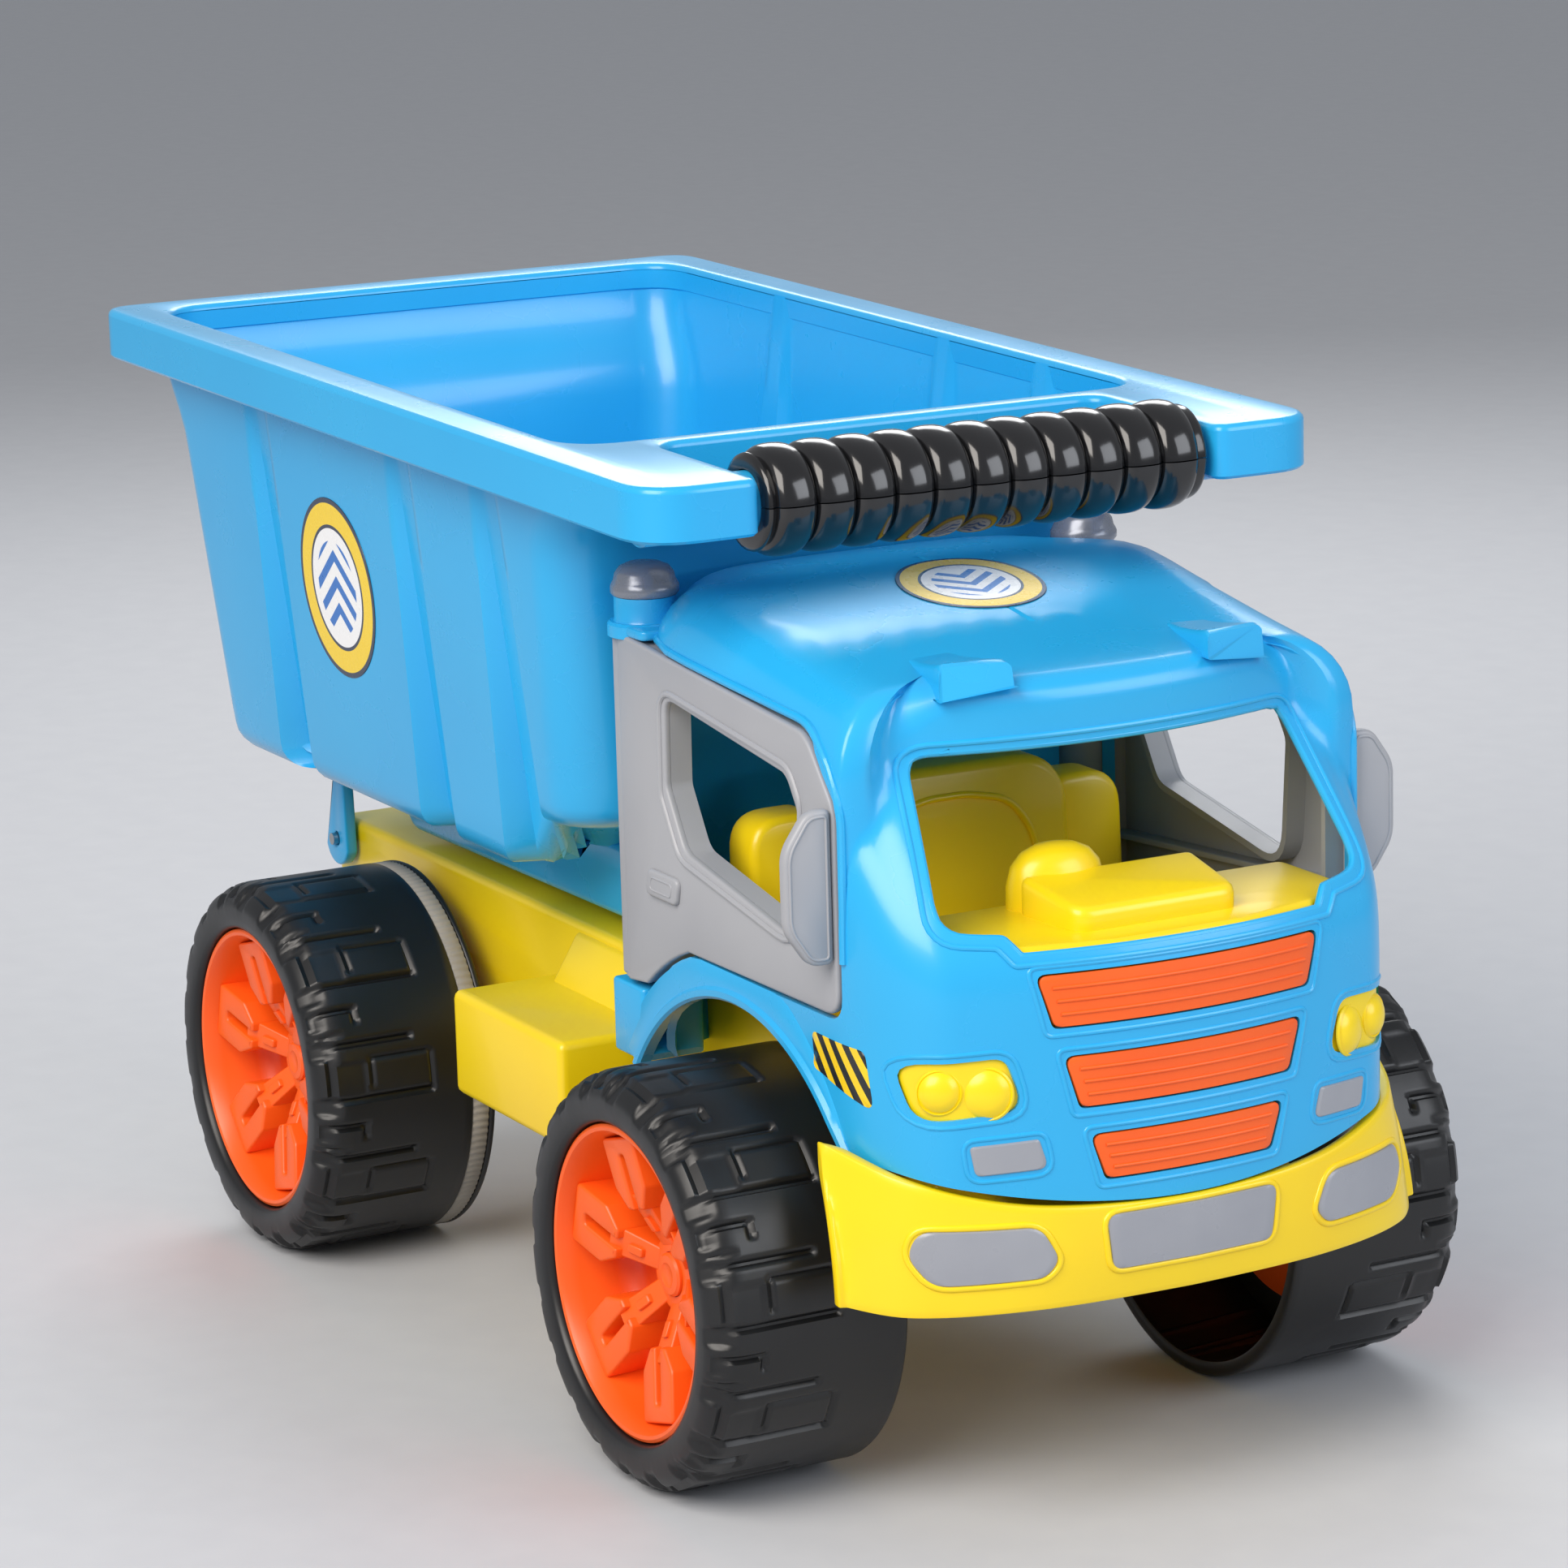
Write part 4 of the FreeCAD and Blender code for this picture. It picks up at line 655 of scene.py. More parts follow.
def cabColumn(x, y, normal, inset=0.0):
    # one line of the cab's skin, from its bottom edge up and over the roof towards the middle
    low = bottomOf(x, y)
    frontShare = clamped((x - cab["leanFrom"]) / cab["leanOver"])
    turn = cab["browTurn"] + cab["cornerTurn"] * clamped((abs(y) - 50) / 20) if x > 0 else cab["roofTurn"]
    if x < cab["rear"] + 12:
        share = max(0.0, (x - cab["rear"]) / 12)
        turn = turn * share + cab["rearTurn"] * (1 - share)
    x, y = x - normal[0] * inset, y - normal[1] * inset

    def wallAt(z):
        soft = cab["beltSoft"]
        back = soft * math.log1p(math.exp((min(z, cab["browLow"]) - cab["belt"]) / soft))
        leant = x - back * cab["lean"] * frontShare
        stop = min(x, cab["pillarX"] + (x - cab["pillarX"]) * 0.1)  # the pillar stays ahead of the door
        share = clamped((abs(y) - cab["pillarFrom"]) / cab["pillarOver"])
        return (leant + max(0.0, stop - leant) * share * share * (3 - 2 * share), y)

    def top(u, v):
        return roofHigh(u, v) - inset
    edgeZ = 240.0
    for _ in range(12):
        edgeZ = top(*wallAt(edgeZ))
    turn -= inset
    topWall = edgeZ - turn
    heights = [low + (topWall - low) * k / cab["wallRows"] for k in range(cab["wallRows"] + 1)]
    made = [(*wallAt(z), z) for z in heights]
    ex, ey = wallAt(edgeZ)
    inward = Vector((min(max(ex, -40), 25) - ex, -ey))
    reach = inward.length
    inward.normalize()
    rx, ry = ex + inward.x * turn, ey + inward.y * turn
    start, bend, end = Vector(made[-1]), Vector((ex, ey, edgeZ)), Vector((rx, ry, top(rx, ry)))
    for k in range(1, 9):
        t = k / 8
        p, q, r = (1 - t) ** 2, 2 * t * (1 - t) * cab["bend"], t * t
        made.append(tuple((start * p + bend * q + end * r) / (p + q + r)))
    left = (reach - turn) * 0.985
    for k in range(1, 17):
        u, v = rx + inward.x * left * k / 16, ry + inward.y * left * k / 16
        made.append((u, v, top(u, v)))
    return made


def cabRings(inset):
    plan = cabPlan()
    whole = plan + [(x, -y) for x, y in reversed(plan[1:-1])]
    columns = []
    for i, (x, y) in enumerate(whole):
        before, after = whole[i - 1], whole[(i + 1) % len(whole)]
        along = Vector((after[0] - before[0], after[1] - before[1])).normalized()
        columns.append(cabColumn(x, y, (-along.y, along.x), inset))
    return [[(c[k][0] + frontAxle, c[k][1], c[k][2]) for c in columns] for k in range(len(columns[0]))]


cabOuter = cabRings(0.0)
cabSkin = loft("cabSkin", cabOuter, False, True)
skinTree = BVHTree.FromObject(cabSkin, bpy.context.evaluated_depsgraph_get())


# the cab's front skin at (y, z), pushed out by lift
def onFront(y, z, lift=0.0):
    hit, normal, _, _ = skinTree.ray_cast(Vector((0.4, y * mm, z * mm)), Vector((-1, 0, 0)))
    if hit is None:
        return (frontAxle + 60, y, z)
    if normal.x < 0:
        normal = -normal
    spot = hit / mm + normal * lift
    return (spot.x, spot.y, spot.z)


def onSide(x, z, sign, lift=0.0):
    hit = skinTree.ray_cast(Vector((x * mm, sign * 0.2, z * mm)), Vector((0, -sign, 0)))[0]
    return (x, hit.y / mm + sign * lift, z) if hit else (x, sign * cab["half"], z)


def onRoof(x, y, lift=0.0):
    hit, normal, _, _ = skinTree.ray_cast(Vector((x * mm, y * mm, 0.4)), Vector((0, 0, -1)))
    if normal.z < 0:
        normal = -normal
    spot = hit / mm + normal * lift
    return (spot.x, spot.y, spot.z)


slatRows = [(45.2, 159.4, 40.8, 144.2), (38.2, 136.5, 33.7, 121.4), (31.1, 114.1, 26.7, 100.7)]
headCorners = [(53.6, 137.6, 5), (48.6, 122.6, 5), (75.2, 120.4, 6), (78.6, 136.4, 5)]
markCorners = [(45.3, 114, 1.6), (42.6, 106.1, 3), (61.8, 105.4, 2.5), (63.3, 113.2, 1.6)]


def grown(corners, by):
    middleU = sum(c[0] for c in corners) / len(corners)
    middleV = sum(c[1] for c in corners) / len(corners)
    return [(u + math.copysign(by, u - middleU), v + math.copysign(by, v - middleV), r + by)
            for u, v, r in corners]


def screenRing(by=0.0):
    half = [(60.5 + by, 214 + by, 7 + by), (68.2 + by, 171.2 - by, 8 + by), (51.2 + by, 169.6 - by, 2),
            (47.4 + by, 164.7 - by, 2)]
    corners = half + [(-u, v, r) for u, v, r in reversed(half)]
    return roundCorners(corners, 6)


def slatRing(row, by=0.0):
    top, high, low, bottom = slatRows[row]
    return roundCorners([(top + by, high + by, 2.5), (low + by, bottom - by, 2.5),
                         (-low - by, bottom - by, 2.5), (-top - by, high + by, 2.5)], 5)


def frontCutter(ring):
    rings = []
    for x in (frontAxle + cab["cutFrom"], frontAxle + cab["cutTo"]):
        rings.append([(x, u, v) for u, v in ring])
    return loft("frontCutter", rings)


def dense(ring, gap=2.5):
    made = []
    for i, point in enumerate(ring):
        after = ring[(i + 1) % len(ring)]
        made.append(point)
        length = math.dist(point, after)
        for k in range(1, int(length / gap) + 1):
            t = k / (int(length / gap) + 1)
            made.append((point[0] + (after[0] - point[0]) * t, point[1] + (after[1] - point[1]) * t))
    return made


def bead(name, ring, radius, lift):
    return tube(name, [onFront(u, v, lift) for u, v in dense(ring)], radius, closed=True)


# a pillow-edged insert that follows the surface inside an outline
def pad(name, ring, surface, proud, deep, edge=0.8):
    ring = dense(ring, 2.0)
    middle = (sum(u for u, v in ring) / len(ring), sum(v for u, v in ring) / len(ring))
    rings = []
    size = max(math.dist(p, middle) for p in ring)
    for share, lift in ((1, -deep), (1, proud - edge), (1 - 0.3 * edge / size, proud - edge * 0.3),
                        (1 - edge / size, proud), (0.86, proud), (0.65, proud), (0.4, proud), (0.15, proud)):
        rings.append([surface(middle[0] + (u - middle[0]) * share, middle[1] + (v - middle[1]) * share, lift)
                      for u, v in ring])
    return loft(name, rings, True, True)


doorArc = 88.0


def doorRing(by=0.0):
    rear = truck["doorX"] - frontAxle
    turns = [math.radians(a) for a in range(129, 105, -4)]
    corners = [(rear - by, 127 - by, 1)]
    corners += [((doorArc - by) * math.cos(a), axleHigh + (doorArc - by) * math.sin(a), 2) for a in turns]
    corners += [(60 + by, 144 - by, 7), (60 + by, 202, 14), (44, 221 + by, 12), (rear - by, 231 + by, 1)]
    return [(u + frontAxle, v) for u, v in roundCorners(corners, 5)]


def makeCab():
    shell = loft("cab.look", list(reversed(cabOuter)) + cabRings(cab["wall"]), True, True)
    bpy.data.objects.remove(cabSkin)
    cutters = [frontCutter(screenRing())]
    cutters += [frontCutter(slatRing(row)) for row in range(3)]
    for corners in (headCorners, markCorners):
        cutters.append(frontCutter(roundCorners(corners, 5)))
        cutters.append(frontCutter([(-u, v) for u, v in roundCorners(corners, 5)]))
    for sign in (1, -1):
        ring = doorRing(0.7)
        y0, y1 = sorted((sign * cab["doorCutIn"], sign * 100))
        cutters.append(loft("doorCutter", [[(u, y0, v) for u, v in ring], [(u, y1, v) for u, v in ring]]))
    carve(shell, cutters)
    for sign in (1, -1):
        room = cab["columnRoom"]
        column = [(truck["doorX"] + room * math.cos(a), sign * truck["doorY"] + room * math.sin(a))
                  for a in circle(40)]
        ends = [[(u, v, z) for u, v in column] for z in (cab["columnLow"], cab["columnHigh"])]
        carve(shell, [loft("columnCutter", ends)])
    parts = [shell]
    parts.append(bead("screenBead", screenRing(2.6), 0.9, -0.25))
    parts.append(bead("screenLip", screenRing(0.2), 1.2, -1.15))
    for row in range(3):
        parts.append(bead("slatBead", slatRing(row, 1.9), 0.8, -0.35))
    for corners in (headCorners, markCorners):
        for sign in (1, -1):
            ring = [(sign * u, v) for u, v in roundCorners(grown(corners, 2.0), 5)]
            parts.append(bead("lampBead", ring, 0.8, -0.35))
    # the roof's overhang runs round the top of each door as a raised strip
    for sign in (1, -1):
        strip = [(-62, 231.6), (44, 222.6), (57.5, 213.0), (cab["pillarX"], 202.5), (cab["pillarX"], 160)]
        path = openRound([(u + frontAxle, v) for u, v in strip], 9)
        path = [(a[0] + (b[0] - a[0]) * k / 8, a[1] + (b[1] - a[1]) * k / 8)
                for a, b in zip(path, path[1:]) for k in range(8)] + [path[-1]]
        parts.append(tube("doorStrip", [onSide(u, v, sign, -0.1) for u, v in path], 1.3))
        parts += archLip(sign)
        parts += stackParts(sign)
        parts.append(roofLamp(sign))
    whole = join("cab.look", parts)
    dress(whole, "blue_plastic", "truck", ["cab_shell"], angle=32)


def openRound(points, radius, steps=5):
    made = [points[0]]
    for i in range(1, len(points) - 1):
        here = Vector(points[i])
        back = Vector(points[i - 1]) - here
        ahead = Vector(points[i + 1]) - here
        cut = min(radius, back.length * 0.45, ahead.length * 0.45)
        start, end = here + back.normalized() * cut, here + ahead.normalized() * cut
        for k in range(steps + 1):
            t = k / steps
            spot = start * (1 - t) ** 2 + here * 2 * t * (1 - t) + end * t * t
            made.append(tuple(spot))
    return made + [points[-1]]


arch = {"from": 37, "to": 146, "widenFrom": 40, "widenOver": 30, "thin": 4.0, "face": 84.8, "root": 80.5,
        "doorLow": 144.0, "tuck": 0.12}


# the flared band over the front wheel, under the door
def archLip(sign):
    inner, outer = truck["archRound"], doorArc - 1.2
    rings = []
    for k in range(41):
        a = math.radians(arch["from"] + (arch["to"] - arch["from"]) * k / 40)
        wide = clamped((math.degrees(a) - arch["widenFrom"]) / arch["widenOver"])
        out = inner + arch["thin"] + (outer - inner - arch["thin"]) * wide
        if a < math.radians(110):  # stays under the door
            out = min(out, (arch["doorLow"] - axleHigh - 0.9) / max(math.sin(a), 0.2))
        face, root = arch["face"], arch["root"]
        profile = [(inner, root), (inner, face - 0.8), (inner + 0.8, face), (inner + 2.6, face),
                   (inner + 3.6, face - 1.2), (out - 0.6, face - 1.5), (out, face - 1.9), (out, root)]
        tuck = max(0.0, inner * math.cos(a) - cab["sideEnd"]) * arch["tuck"]
        rings.append([(frontAxle + r * math.cos(a), sign * (y - tuck), axleHigh + r * math.sin(a))
                      for r, y in profile])
    return [loft("archLip", rings)]


stack = {"postIn": 63, "postOut": 83.4, "postRear": -79, "postFront": -59, "postLow": 104, "postHigh": 126.1,
         "low": 229.0, "flangeLow": 229.9, "flangeHigh": 232.8, "flangeOut": 83.2, "flangeDeep": 22}


# rear post with the lower pin socket, and the collar and stack over the door column
def stackParts(sign):
    x, y = truck["doorX"], sign * truck["doorY"]
    y0, y1 = sorted((sign * stack["postIn"], sign * stack["postOut"]))
    rear, front = frontAxle + stack["postRear"], frontAxle + stack["postFront"]
    post = roundCorners([(rear, y0, 2), (front, y0, 2), (front, y1, 3), (rear, y1, 10)], 4)
    wide = truck["archRound"]
    opening = [(frontAxle + wide * math.cos(a), axleHigh + wide * math.sin(a))
               for a in [math.radians(90 + k * 3) for k in range(31)]] + [(frontAxle, axleHigh)]
    base = plate("post", post, [], stack["postLow"], stack["postHigh"], 1.0, upwards)
    carve(base, [loft("archCutter", [[(u, side, v) for u, v in opening] for side in (-100, 100)])])
    parts = [base]
    socket = [(2.1, 0), (11.2, 0), (11.2, 3.4), (10.4, 4.2), (9.4, 4.2), (9.1, 4.8), (9.1, 11.4), (2.1, 11.4)]
    rings = []
    for a in circle(48):
        rings.append([(x + r * math.cos(a), y + r * math.sin(a), stack["low"] + h) for r, h in socket])
    rings.append(rings[0])
    parts.append(sheet("stack", rings, closed=True))
    # the collar's flange reaches back into the roof
    back, out = y - sign * stack["flangeDeep"], sign * stack["flangeOut"]
    flange = roundCorners([(x - 9, back, 3), (x + 16, back, 3), (x + 16, out, 3), (x + 3, out, 3),
                           (x - 9, y, 6)], 4)
    if sign < 0:
        flange = flange[::-1]
    parts.append(plate("flange", flange, [], stack["flangeLow"], stack["flangeHigh"], 0.8, upwards))
    return parts


roofLight = {"front": 65.8, "long": 26, "inner": 28.6, "outer": 54.4, "narrow": 3.0, "edge": 1.5,
             "top": 238.6, "frontTop": 237.6, "sweep": 0.2, "middle": 41, "fall": 1.4, "roofEnd": 58}


# a wedge-shaped marker light on the brow
def roofLamp(sign):
    rings = []
    for k in range(9):
        t = k / 8
        x = frontAxle + roofLight["front"] - roofLight["long"] * t
        inner = roofLight["inner"] + roofLight["narrow"] * t + roofLight["edge"]
        outer = roofLight["outer"] - roofLight["narrow"] * t - roofLight["edge"]
        section = roundCorners([(inner, -3, 0.5), (inner + 1.4, 1, 2.2), (outer - 1.4, 1, 2.2),
                                (outer, -3, 0.5)], 4)
        top = roofLight["top"] if k else roofLight["frontTop"]
        row = []
        for u, v in section:
            x0 = x - (u - roofLight["middle"]) * roofLight["sweep"] * (1 - t)
            base = onRoof(min(x0, frontAxle + roofLight["roofEnd"]), sign * u)[2]
            high = max(base - 0.6, top + (base + 0.4 - top) * t ** roofLight["fall"])
            z = base - 2 if v < 0 else high - (1 - v) * 1.6
            row.append((x0 if k else x0 - 0.9 * (1 + v), sign * u, z))
        rings.append(row)
    return loft("roofLamp", rings)


makeCab()
print("cab made")

# grille, headlights and marker lamps
grillePads = []
for slat in range(3):
    grillePads.append(pad("slat", slatRing(slat, -0.45), onFront, 0.1, 2.6))
    slatTop, slatHigh, slatLow, slatBottom = slatRows[slat]
    for step in (0.26, 0.5, 0.74):
        height = slatHigh + (slatBottom - slatHigh) * step
        wide = slatTop + (slatLow - slatTop) * step - 3.5
        line = [onFront(-wide + 2 * wide * k / 40, height, 0.0) for k in range(41)]
        grillePads.append(tube("slatRidge", line, 0.55))
grille = join("grille.look", grillePads)
dress(grille, "orange_plastic", "truck", ["grille_insert"])

# each bulb is (y, z, radius); the dome steps out from its rim as (share of radius, height)
headlight = {"bulbs": ((70.5, 128.6, 6.4), (58.6, 127.6, 7.6)), "aim": (0.86, 0.5, 0.05), "sunk": -1.4,
             "dome": ((1, 0), (1, 0.5), (0.93, 1.0), (0.88, 0.7), (0.83, 1.0), (0.7, 1.9), (0.45, 2.6),
                      (0.15, 2.9))}
for hand, sign in (("left", 1), ("right", -1)):
    ring = [(sign * u, v) for u, v in roundCorners(grown(headCorners, -0.45), 5)]
    parts = [pad("headlight", ring, onFront, -0.9, 2.6, 0.6)]
    for y, z, radius in headlight["bulbs"]:
        middle = Vector(onFront(sign * y, z, headlight["sunk"]))
        ahead, aside, upward = headlight["aim"]
        out = Vector((ahead, sign * aside, upward)).normalized()
        side = out.cross(Vector((0, 0, 1))).normalized()
        up = side.cross(out)
        rings = []
        for r, h in headlight["dome"]:
            rings.append([tuple(middle + side * radius * r * math.cos(t) + up * radius * r * math.sin(t)
                                + out * h) for t in circle(36)])
        parts.append(loft("bulb", rings))
    dress(join(f"headlight_{hand}.look", parts), "yellow_plastic", "truck", [f"headlight_{hand}"])
    ring = [(sign * u, v) for u, v in roundCorners(grown(markCorners, -0.4), 5)]
    marker = pad("marker", ring, onFront, 0.7, 2.2, 1.4)
    dress(join(f"marker_{hand}.look", [marker]), "lamp_grey", "truck", [f"marker_lamp_{hand}"])
print("lamps made")


# the face's upper and lower edges, from the middle out to the wheel arch
bumper = {"thick": 3.5, "belly": 0.8, "rows": 15, "columns": 45, "trench": -3.1, "lip": 1.4,
          "top": [(106.6, 0, 93.0), (101.5, 46, 95.6), (86.5, 77, 103.5), (60, 90, 110.7)],
          "low": [(105, 0, 66.5), (102, 46, 66.8), (90, 79, 67.0), (72, 94, 68.5)]}


# a point of the bumper's face: t from the middle to the wheel arch, s from bottom to top
def bumperAt(t, s):
    def along(line):
        spots = [Vector(p) for p in line]
        a, b, c, d = spots
        lead = Vector((a.x, -b.y, b.z))
        trail = d + (d - c) * 0.6
        chain = [lead, a, b, c, d, trail]
        part = min(int(t * 3), 2)
        f = t * 3 - part
        p0, p1, p2, p3 = chain[part:part + 4]
        return 0.5 * ((2 * p1) + (p2 - p0) * f + (2 * p0 - 5 * p1 + 4 * p2 - p3) * f * f
                      + (3 * p1 - p0 - 3 * p2 + p3) * f ** 3)
    high, low = along(bumper["top"]), along(bumper["low"])
    spot = low.lerp(high, s)
    belly = bumper["belly"] * math.sin(math.pi * min(1, max(0, s)))
    return Vector((spot.x + belly * (1 - 0.6 * t), spot.y + belly * t * 0.9, spot.z))


def bumperRows():
    rows = []
    clear = truck["archRound"] + 0.5
    for level in range(bumper["rows"]):
        height = level / (bumper["rows"] - 1)
        half = [bumperAt(t / (bumper["columns"] - 1), height) for t in range(bumper["columns"])]
        row = []
        for x, y, z in [(p.x, -p.y, p.z) for p in reversed(half[1:])] + [tuple(p) for p in half]:
            if math.hypot(x, z - axleHigh) < clear:
                x = math.sqrt(max(clear ** 2 - (z - axleHigh) ** 2, 1))
            row.append((x + frontAxle, y, z))
        rows.append(row)
    return rows


bumperFace = bumperRows()
bumperSkin = sheet("bumperSkin", bumperFace)
bumperTree = BVHTree.FromObject(bumperSkin, bpy.context.evaluated_depsgraph_get())


def onBumper(y, z, lift=0.0):
    best = bumperTree.ray_cast(Vector((0.4, y * mm, z * mm)), Vector((-1, 0, 0)))
    if best[0] is None:
        best = bumperTree.find_nearest(Vector((0.22, y * mm, z * mm)))
    normal = best[1]
    if normal.x < 0:
        normal = -normal
    spot = best[0] / mm + normal * lift
    return (spot.x, spot.y, spot.z)


fogCorners = [(47, 89.8, 7), (41.5, 81.5, 7), (46, 76.6, 7), (74, 76.3, 8), (79.5, 83, 7), (76.5, 90.3, 7)]
midCorners = [(27, 90.6, 3.5), (25, 76.2, 3.5), (-25, 76.2, 3.5), (-27, 90.6, 3.5)]


def bumperPad(name, corners, sign=1):
    ring = [(sign * u, v) for u, v in roundCorners(grown(corners, -0.8), 5)]
    return pad(name, ring, onBumper, 0.7, 3.0, 1.5)


def makeBumper():
    middle = bumperFace[bumper["rows"] // 2]
    rings = []
    for i in range(len(middle)):
        before, after = middle[max(i - 1, 0)], middle[min(i + 1, len(middle) - 1)]
        along = Vector((after[0] - before[0], after[1] - before[1])).normalized() * bumper["thick"]
        outer = [row[i] for row in bumperFace]
        rings.append(outer + [(x - along.y, y + along.x, z) for x, y, z in reversed(outer)])
    shell = soften(loft("bumper.look", rings), 0.9, 50)
    bpy.data.objects.remove(bumperSkin)
    lips, trenches = [], []
    for corners, sides in ((fogCorners, (1, -1)), (midCorners, (1,))):
        for sign in sides:
            outer = [(sign * u, v) for u, v in roundCorners(corners, 5)]
            trenches.append(loft("trench", [[onBumper(u, v, h) for u, v in dense(outer)]
                                            for h in (bumper["trench"], 4.0)]))
            ring = [(sign * u, v) for u, v in roundCorners(grown(corners, bumper["lip"]), 5)]
            lips.append(tube("fogLip", [onBumper(u, v, -0.3) for u, v in dense(ring)], 1.0, closed=True))
    carve(shell, trenches)
    return join("bumper.look", [shell] + lips)


bumperPiece = makeBumper()
dress(bumperPiece, "yellow_plastic", "truck", ["front_bumper"])
for hand, sign in (("left", 1), ("right", -1)):
    dress(join(f"bumperLamp_{hand}", [bumperPad("fog", fogCorners, sign)]), "lamp_grey", "truck",
          [f"bumper_lamp_{hand}"])
dress(join("bumperLamp_centre", [bumperPad("fog", midCorners)]), "lamp_grey", "truck", ["bumper_lamp_centre"])
print("bumper made")


door = {"out": 83.6, "in": 78.4, "leaf": 2.6, "turnIn": 3.5, "bead": 2.6, "columnLow": 127.3,
        "columnHigh": 228.8, "columnRound": 9.0, "mirrorX": 55.5, "mirrorFace": 59.2}
windowCorners = [(-39, 216, 5), (33, 207, 7), (39, 198, 6), (36, 161, 9), (-29, 173, 8), (-39.5, 190, 5)]


def makeDoor(hand, sign):
    body = f"{hand}_door"

    def place(u, v, w):
        return (u, sign * w, v)
    ring = doorRing(-0.5)
    window = [(u + frontAxle, v) for u, v in roundCorners(windowCorners, 6)]
    high, low, deep = door["out"], door["in"] + door["leaf"], door["in"] - door["turnIn"]
    leaf = plate("leaf", ring, [window], low, high, 0.9, place)
    parts = [leaf]
    # side walls that turn in round the leaf and the window
    top = low + 0.5
    parts.append(sweepLoop("doorWall", ring, [(0.6, deep), (2.6, deep), (2.6, top), (0.6, top)], place))
    parts.append(sweepLoop("windowWall", window, [(0.0, deep), (-2.2, deep), (-2.2, top), (0.0, top)], place))
    # raised bead round the window
    beadRing = [(u + frontAxle, v) for u, v in roundCorners(grown(windowCorners, door["bead"]), 6)]
    parts.append(tube("windowBead", [place(u, v, high - 0.05) for u, v in dense(beadRing)], 1.0, closed=True))
    # pull handle
    pull = roundCorners([(-50, 164.5, 2.5), (-31, 164.5, 2.5), (-33, 156.5, 2.5), (-52, 156.5, 2.5)], 4)
    parts.append(plate("pull", [(u + frontAxle, v) for u, v in pull], [], high - 0.6, high + 1.5, 0.9, place))
    frame = [(u + frontAxle, v) for u, v in roundCorners([(-47.5, 162.4, 1.5), (-34.5, 162.4, 1.5),
                                                          (-35.8, 158.6, 1.5), (-48.8, 158.6, 1.5)], 4)]
    parts.append(tube("pullLine", [place(u, v, high + 1.4) for u, v in dense(frame)], 0.35, closed=True))
    # the hinge column, with the step where the leaf meets it
    x, y = truck["doorX"], truck["doorY"]
    foot, head, r = door["columnLow"], door["columnHigh"], door["columnRound"]
    section = [(2.1, foot), (r - 0.7, foot), (r, foot + 0.7), (r, head - 0.7), (r - 0.7, head), (2.1, head)]
    rings = [[(x + q * math.cos(a), sign * (y + q * math.sin(a)), h) for q, h in section]
             for a in circle(48)]
    rings.append(rings[0])
    parts.append(sheet("column", rings, closed=True))
    web = roundCorners([(x - 5, 128.2, 1), (x + 10.5, 128.2, 1), (x + 10.5, 228.6, 1), (x - 5, 228.6, 1)], 2)
    parts.append(plate("web", web, [], y + 2.5, y + 8.9, 1.2, place))
    # rib on the hollow inner face
    rib = roundCorners([(x + 6, 150, 0.8), (x + 122, 158, 0.8), (x + 122, 160, 0.8), (x + 6, 152, 0.8)], 2)
    parts.append(plate("rib", rib, [], door["in"] - 2.5, door["out"] - 1.6, 0.5, place))
    whole = join(f"door_{hand}.look", parts)
    dress(whole, "grey_plastic", body, [f"door_{hand}"], angle=35)
    mirror = roundCorners([(83.9, 202.5, 2), (91, 202.5, 7), (98.4, 192, 12), (98.4, 170, 12), (91, 159.5, 7),
                           (83.9, 159.5, 2)], 7)
    if sign < 0:
        mirror = mirror[::-1]

    def across(u, v, w):
        return (w, sign * u, v)
    face = frontAxle + door["mirrorFace"]
    glass = plate("mirror", mirror, [], frontAxle + door["mirrorX"], face, 1.1, across)
    rimRing = roundCorners([(85.5, 200.7, 1.2), (90.5, 200.7, 6), (96.8, 191.4, 11), (96.8, 170.6, 11),
                            (90.5, 161.3, 6), (85.5, 161.3, 1.2)], 7)
    lip = tube("mirrorLip", [across(u, v, face - 0.1) for u, v in dense(rimRing)], 0.45, closed=True)
    dress(join(f"mirror_{hand}.look", [glass, lip]), "grey_plastic", body, [f"mirror_{hand}"])


makeDoor("left", 1)
makeDoor("right", -1)
print("doors made")


seat = {"face": -25.0, "back": -44.0, "floor": 122.0, "wide": 41.0, "top": 188.0, "recline": 0.06,
        "shelfHalf": 62, "shelfRear": -72, "shelfFront": 48}


